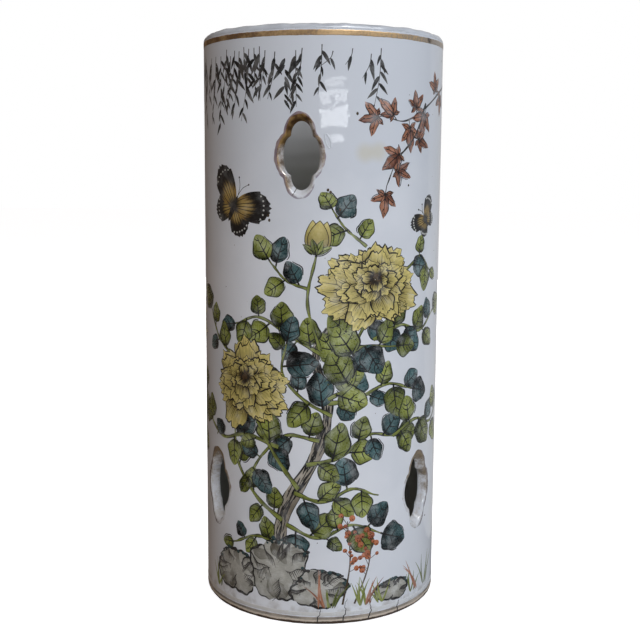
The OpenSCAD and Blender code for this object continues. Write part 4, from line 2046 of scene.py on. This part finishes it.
@dataclass
class AgeMarks:
    """Specks of iron in the glaze, hairline cracks at the foot and a drop of glaze by the front opening."""

    painting: Painting
    specks: int = 46
    spots: Sequence[Place] = (
        (18.6, 244.6), (5.2, 210.0), (80.0, 251.5), (6.4, 209.0), (50.0, 236.0),
        (-23.4, 198.0), (-22.8, 195.8), (11.0, 201.0), (58.7, 180.6),
    )
    cracks: Sequence[Span] = ((2.0, 5.0), (14.6, 9.0), (28.0, 8.0), (45.0, 3.0))
    band_top: float = 7.2
    band_lift: float = 0.17
    drop: Place = (5.0, 232.1)
    drop_angle: float = -71.0
    drop_reach: Span = (3.4, 1.1)
    bead: Span = (0.4, 0.2)
    bead_root: float = 0.02
    seed: int = 23

    def build(self) -> None:
        """Adds the specks, and the cracks, which run over the foot's band."""
        rng = np.random.default_rng(self.seed)
        sizes = self.painting.tube.sizes
        for _ in range(self.specks):
            place = (rng.uniform(-np.pi, np.pi) * sizes.radius, rng.uniform(12, sizes.mouth_base - 3))
            size = rng.uniform(0.18, 0.5)
            self.painting.blob(Layer.SPECKS, place, size, size * rng.uniform(0.7, 1.3), Paint.UMBER, 0.3, 4)
        for place in self.spots:
            self.painting.blob(Layer.SPECKS, place, 0.6, 0.75, Paint.UMBER, 0.4, 5)
        self.painting.relief[: round(self.band_top / self.painting.cell)] = self.band_lift
        for place, length in self.cracks:
            z = np.linspace(1.5, sizes.foot_top + length, 14)
            wave = 0.5 * np.sin(0.9 * z + place) + 0.25 * np.sin(2.7 * z)
            path = np.stack([place + wave + 0.12 * (z - z[0]), z], axis=1)
            self.painting.stroke(Layer.CRACKS, path, np.linspace(0.5, 0.16, 14), Paint.INK, 0.1)

    def glaze_drop(self, glaze: Material) -> None:
        """Makes the drop of glaze, whose rim set as a rounded bead round a long loop.

        Args:
            glaze: Its finish.
        """
        u, v = net(61, 9)
        ahead, left = heading(self.drop_angle), heading(self.drop_angle + 90)
        long, short = self.drop_reach
        half_width, rise = self.bead
        turn = 2 * np.pi * u
        loop = long * np.cos(turn) * ahead + short * np.sin(turn) * left
        run = short * np.cos(turn) * left - long * np.sin(turn) * ahead
        aside = np.stack([-run[:, 1], run[:, 0]], axis=1) / np.linalg.norm(run, axis=1, keepdims=True)
        places = (self.drop + loop)[:, None] + half_width * v[..., None] * aside[:, None]
        draft = MeshDraft()
        draft.grid(self.painting.tube.scroll(places, rise * (1 - v * v) - self.bead_root), flip=True)
        dress(draft.build("glaze_drop", glaze), Slot.GLAZE)


# The studio


@dataclass(frozen=True)
class SoftBox:
    """An area light that faces the stand, and either lights it or is only mirrored in its gloss."""

    name: str
    azimuth: float
    distance: float
    height: float
    width: float
    tall: float
    power: float
    colour: Colour = (1.0, 1.0, 1.0)
    mirrored: bool = False
    aim: float = 0.15

    def build(self) -> None:
        """Makes the light, in metres, round the stand's axis."""
        data = bpy.data.lights.new(self.name, "AREA")
        data.shape = "RECTANGLE"
        data.size = self.width
        data.size_y = self.tall
        data.energy = self.power
        data.color = self.colour
        light = bpy.data.objects.new(self.name, data)
        light.location = around(self.distance, math.radians(self.azimuth), self.height)
        look = Vector((0, 0, self.aim)) - light.location
        light.rotation_euler = look.to_track_quat("-Z", "Y").to_euler()
        light.visible_camera = False
        light.visible_diffuse = not self.mirrored
        light.visible_glossy = self.mirrored
        bpy.context.scene.collection.objects.link(light)


@dataclass(frozen=True)
class PhotoCamera:
    """The camera where the photograph was taken from, in metres and degrees."""

    azimuth: float = 2.5
    distance: float = 0.52993
    height: float = 0.21625
    pitch: float = 8.04
    yaw: float = 0.084
    roll: float = 0.41
    lens: float = 57.26
    sensor: float = 36.0

    def build(self) -> None:
        """Makes the scene's camera."""
        data = bpy.data.cameras.new("photo_camera")
        data.lens = self.lens
        data.sensor_width = self.sensor
        data.clip_start = 0.01
        camera = bpy.data.objects.new("photo_camera", data)
        swing = math.radians(self.azimuth + self.yaw)
        down = math.radians(self.pitch)
        place = Vector(around(self.distance, math.radians(self.azimuth), self.height))
        aimed = Matrix.Rotation(swing, 4, "Z") @ Matrix.Rotation(math.pi / 2 - down, 4, "X")
        rolled = Matrix.Rotation(math.radians(self.roll), 4, "Z")
        camera.matrix_world = Matrix.Translation(place) @ aimed @ rolled
        bpy.context.scene.collection.objects.link(camera)
        bpy.context.scene.camera = camera


@dataclass(frozen=True)
class Blind:
    """Part of a window's blinds that the gloss mirrors, in metres and degrees."""

    azimuth: float
    height: float
    width: float
    glare: float
    slats: int


@dataclass(frozen=True)
class FloorFinish:
    """Pale floor that glows enough to look white."""

    pale: Colour = (0.9, 0.9, 0.9)
    deep: Colour = (0.88, 0.88, 0.88)
    light: Colour = (1.0, 1.0, 1.0)
    glow: float = 0.84
    lump: float = 400.0

    def material(self) -> Material:
        """The floor's material.

        Returns:
            The new material.
        """
        shader = Shader("pale_floor", Roughness=0.9, Emission_Strength=self.glow)
        tone = shader.mix(shader.noise(self.lump, 2), self.pale, self.deep)
        shader.set(Base_Color=tone, Emission_Color=self.light)
        return shader.material


@dataclass
class Studio:
    """Plain pale floor, plain soft light and the camera."""

    floor_size: float = 12.0
    floor_drop: float = 0.02
    left: Colour = (0.1, 0.07, 0.05)
    right: Colour = (0.26, 0.27, 0.29)
    backdrop: Colour = (1.0, 1.0, 1.0)
    boxes: Sequence[SoftBox] = (
        SoftBox("key_box", 26, 1.6, 0.42, 1.3, 1.3, 16.4, (0.88, 0.925, 1.0)),
        SoftBox("left_fill", -56, 1.6, 0.5, 0.9, 1.2, 2.5, (1.0, 0.97, 0.94)),
        SoftBox("top_box", 10, 0.1, 0.9, 0.6, 0.6, 1.6),
        SoftBox("back_fill", 182.5, 1.6, 0.35, 0.6, 0.6, 13.0),
        SoftBox("lip_glow", 41, 1.2, 1.85, 1.6, 1.0, 30.0, (0.92, 0.96, 1.0), True, 0.25),
        SoftBox("spark", 30, 1.2, 1.7, 0.4, 0.3, 6.0, (1.0, 1.0, 1.0), True, 0.25),
        SoftBox("side_glow", 150, 3.0, 0.4, 3.0, 3.0, 9.0, (1.0, 0.98, 0.95), True),
    )
    blinds: Sequence[Blind] = (
        Blind(13.5, 0.4399, 0.70, 9.0, 2),
        Blind(13.0, 0.4090, 0.95, 13.0, 3),
        Blind(13.0, 0.3640, 0.95, 18.0, 5),
        Blind(15.5, 0.3120, 0.48, 17.0, 2),
    )
    slat_pitch: float = 0.0095
    slat_distance: float = 2.1
    slat_tint: Colour = (0.94, 0.97, 1.0)
    seed: int = 3

    def slats(self) -> list[SoftBox]:
        """Slats of a window's blinds, which only the gloss mirrors, each as long as chance has it.

        Returns:
            The slats of each blind, from its lowest.
        """
        rng = np.random.default_rng(self.seed)
        made = []
        for blind in self.blinds:
            for i in range(blind.slats):
                wide = blind.width * rng.uniform(0.82, 1.1)
                height = blind.height + (i - (blind.slats - 1) / 2) * self.slat_pitch
                turn = blind.azimuth + rng.uniform(-1.2, 1.2)
                power = blind.glare * wide * self.slat_pitch
                tall = 0.9 * self.slat_pitch
                name = f"slat_{len(made)}"
                far, tint = self.slat_distance, self.slat_tint
                made.append(SoftBox(name, turn, far, height, wide, tall, power, tint, True))
        return made

    def build(self) -> None:
        """Makes the floor, the lights, the world and the camera."""
        edge = self.floor_size / MM / 2
        side = np.linspace(-edge, edge, 9)
        x, y = np.meshgrid(side, side)
        draft = MeshDraft()
        draft.grid(np.stack([x, y, 0 * x - self.floor_drop], axis=-1))
        floor = draft.build("pale_floor", FloorFinish().material())
        floor.visible_diffuse = False
        floor.visible_glossy = False
        for box in (*self.boxes, *self.slats()):
            box.build()
        self.world()
        PhotoCamera().build()
        bpy.context.scene.view_settings.view_transform = "Standard"

    def world(self) -> None:
        """A surround that is white behind the stand and lights it softly, dim and warm from the left."""
        shader = Shader("white_surround", True)
        way = shader.node("ShaderNodeTexCoord", {}, {})["Generated"]
        across = shader.node("ShaderNodeSeparateXYZ", {}, {"Vector": way})["X"]
        room = shader.mix(across.step(-0.6, 0.6), self.left, self.right)
        direct = shader.node("ShaderNodeLightPath", {}, {})["Is Camera Ray"]
        shader.set(Color=shader.mix(direct, room, self.backdrop))
        bpy.context.scene.world = shader.material


# How the gilding of each tier of openings is worn and shaded in paint, by the fields of GildedEdge
GILDING = {
    "lower": {"gold": 0.36, "fall": 0.5, "lean": -0.1, "dulled": 0.8, "line_width": 1.3, "line_lean": 0.5},
    "upper": {"gold": 0.6, "fall": 0.3, "lean": 0.14},
}


def main() -> None:
    logging.basicConfig(level=logging.INFO, format="%(message)s")
    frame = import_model()
    sizes = StandSizes.from_frame()
    tube = Tube(sizes)
    openings = {
        tier: [
            Opening.from_frame(node, solid, tube)
            for node, solid in sorted(frame["nodes"].items())
            if node.startswith(f"{tier}_opening_gilding")
        ]
        for tier in GILDING
    }
    glaze = GlazeFinish().material()
    # Inside the tube the glaze is painted darker below 208 mm, as shade deep in the tube and on its floor
    inside = GlazeFinish(
        "inside_glaze", linear(244, 245, 248), linear(236, 237, 238), darker_tone=linear(156, 156, 150),
        soil_and_shade_base=208.0, soil_and_shade_top=254.0, evenness=1.0,
    ).material()
    gilt = GiltFinish().material()
    rubbed = GiltFinish(
        "rubbed_gilt", linear(214, 213, 210), linear(198, 194, 186), linear(222, 224, 226), 0.2, metal=0.0
    ).material()
    biscuit = BiscuitFinish().material()
    edge = GildedEdgeFinish().material()
    for tier, low, high in (("lower", sizes.foot_top, sizes.joint), ("upper", sizes.joint, sizes.mouth_base)):
        wall = PiercedWall(f"{tier}_wall_glazed", f"{tier}_wall", tube, openings[tier], low, high)
        wall.build(glaze, inside)
    # The lip's glaze is darker, partly from rubbing and partly as painted shade
    lip = GlazeFinish(
        "lip_glaze", linear(208, 212, 218), linear(170, 174, 181), painted_shade_heights=(900.0, 999.0), lump=9.0
    ).material()
    MouthRim(tube).build(glaze, lip, gilt)
    foot_band = node_box("foot_gilt_band")[:, 2]
    GiltBand("foot_band_gilded", "foot_gilt_band", tube, *foot_band).build(rubbed)
    Foot(tube).build(inside, biscuit)
    for tier, places in openings.items():
        for number, opening in enumerate(places, 1):
            name = f"{tier}_opening_gilded_{number}"
            GildedEdge(name, opening, seed=number, **GILDING[tier]).build(edge)
    painting = Flora(tube, [opening for places in openings.values() for opening in places])
    GardenScene(painting).build()
    marks = AgeMarks(painting)
    marks.build()
    marks.glaze_drop(glaze)
    painting.build()
    Studio().build()


if __name__ == "__main__":
    main()
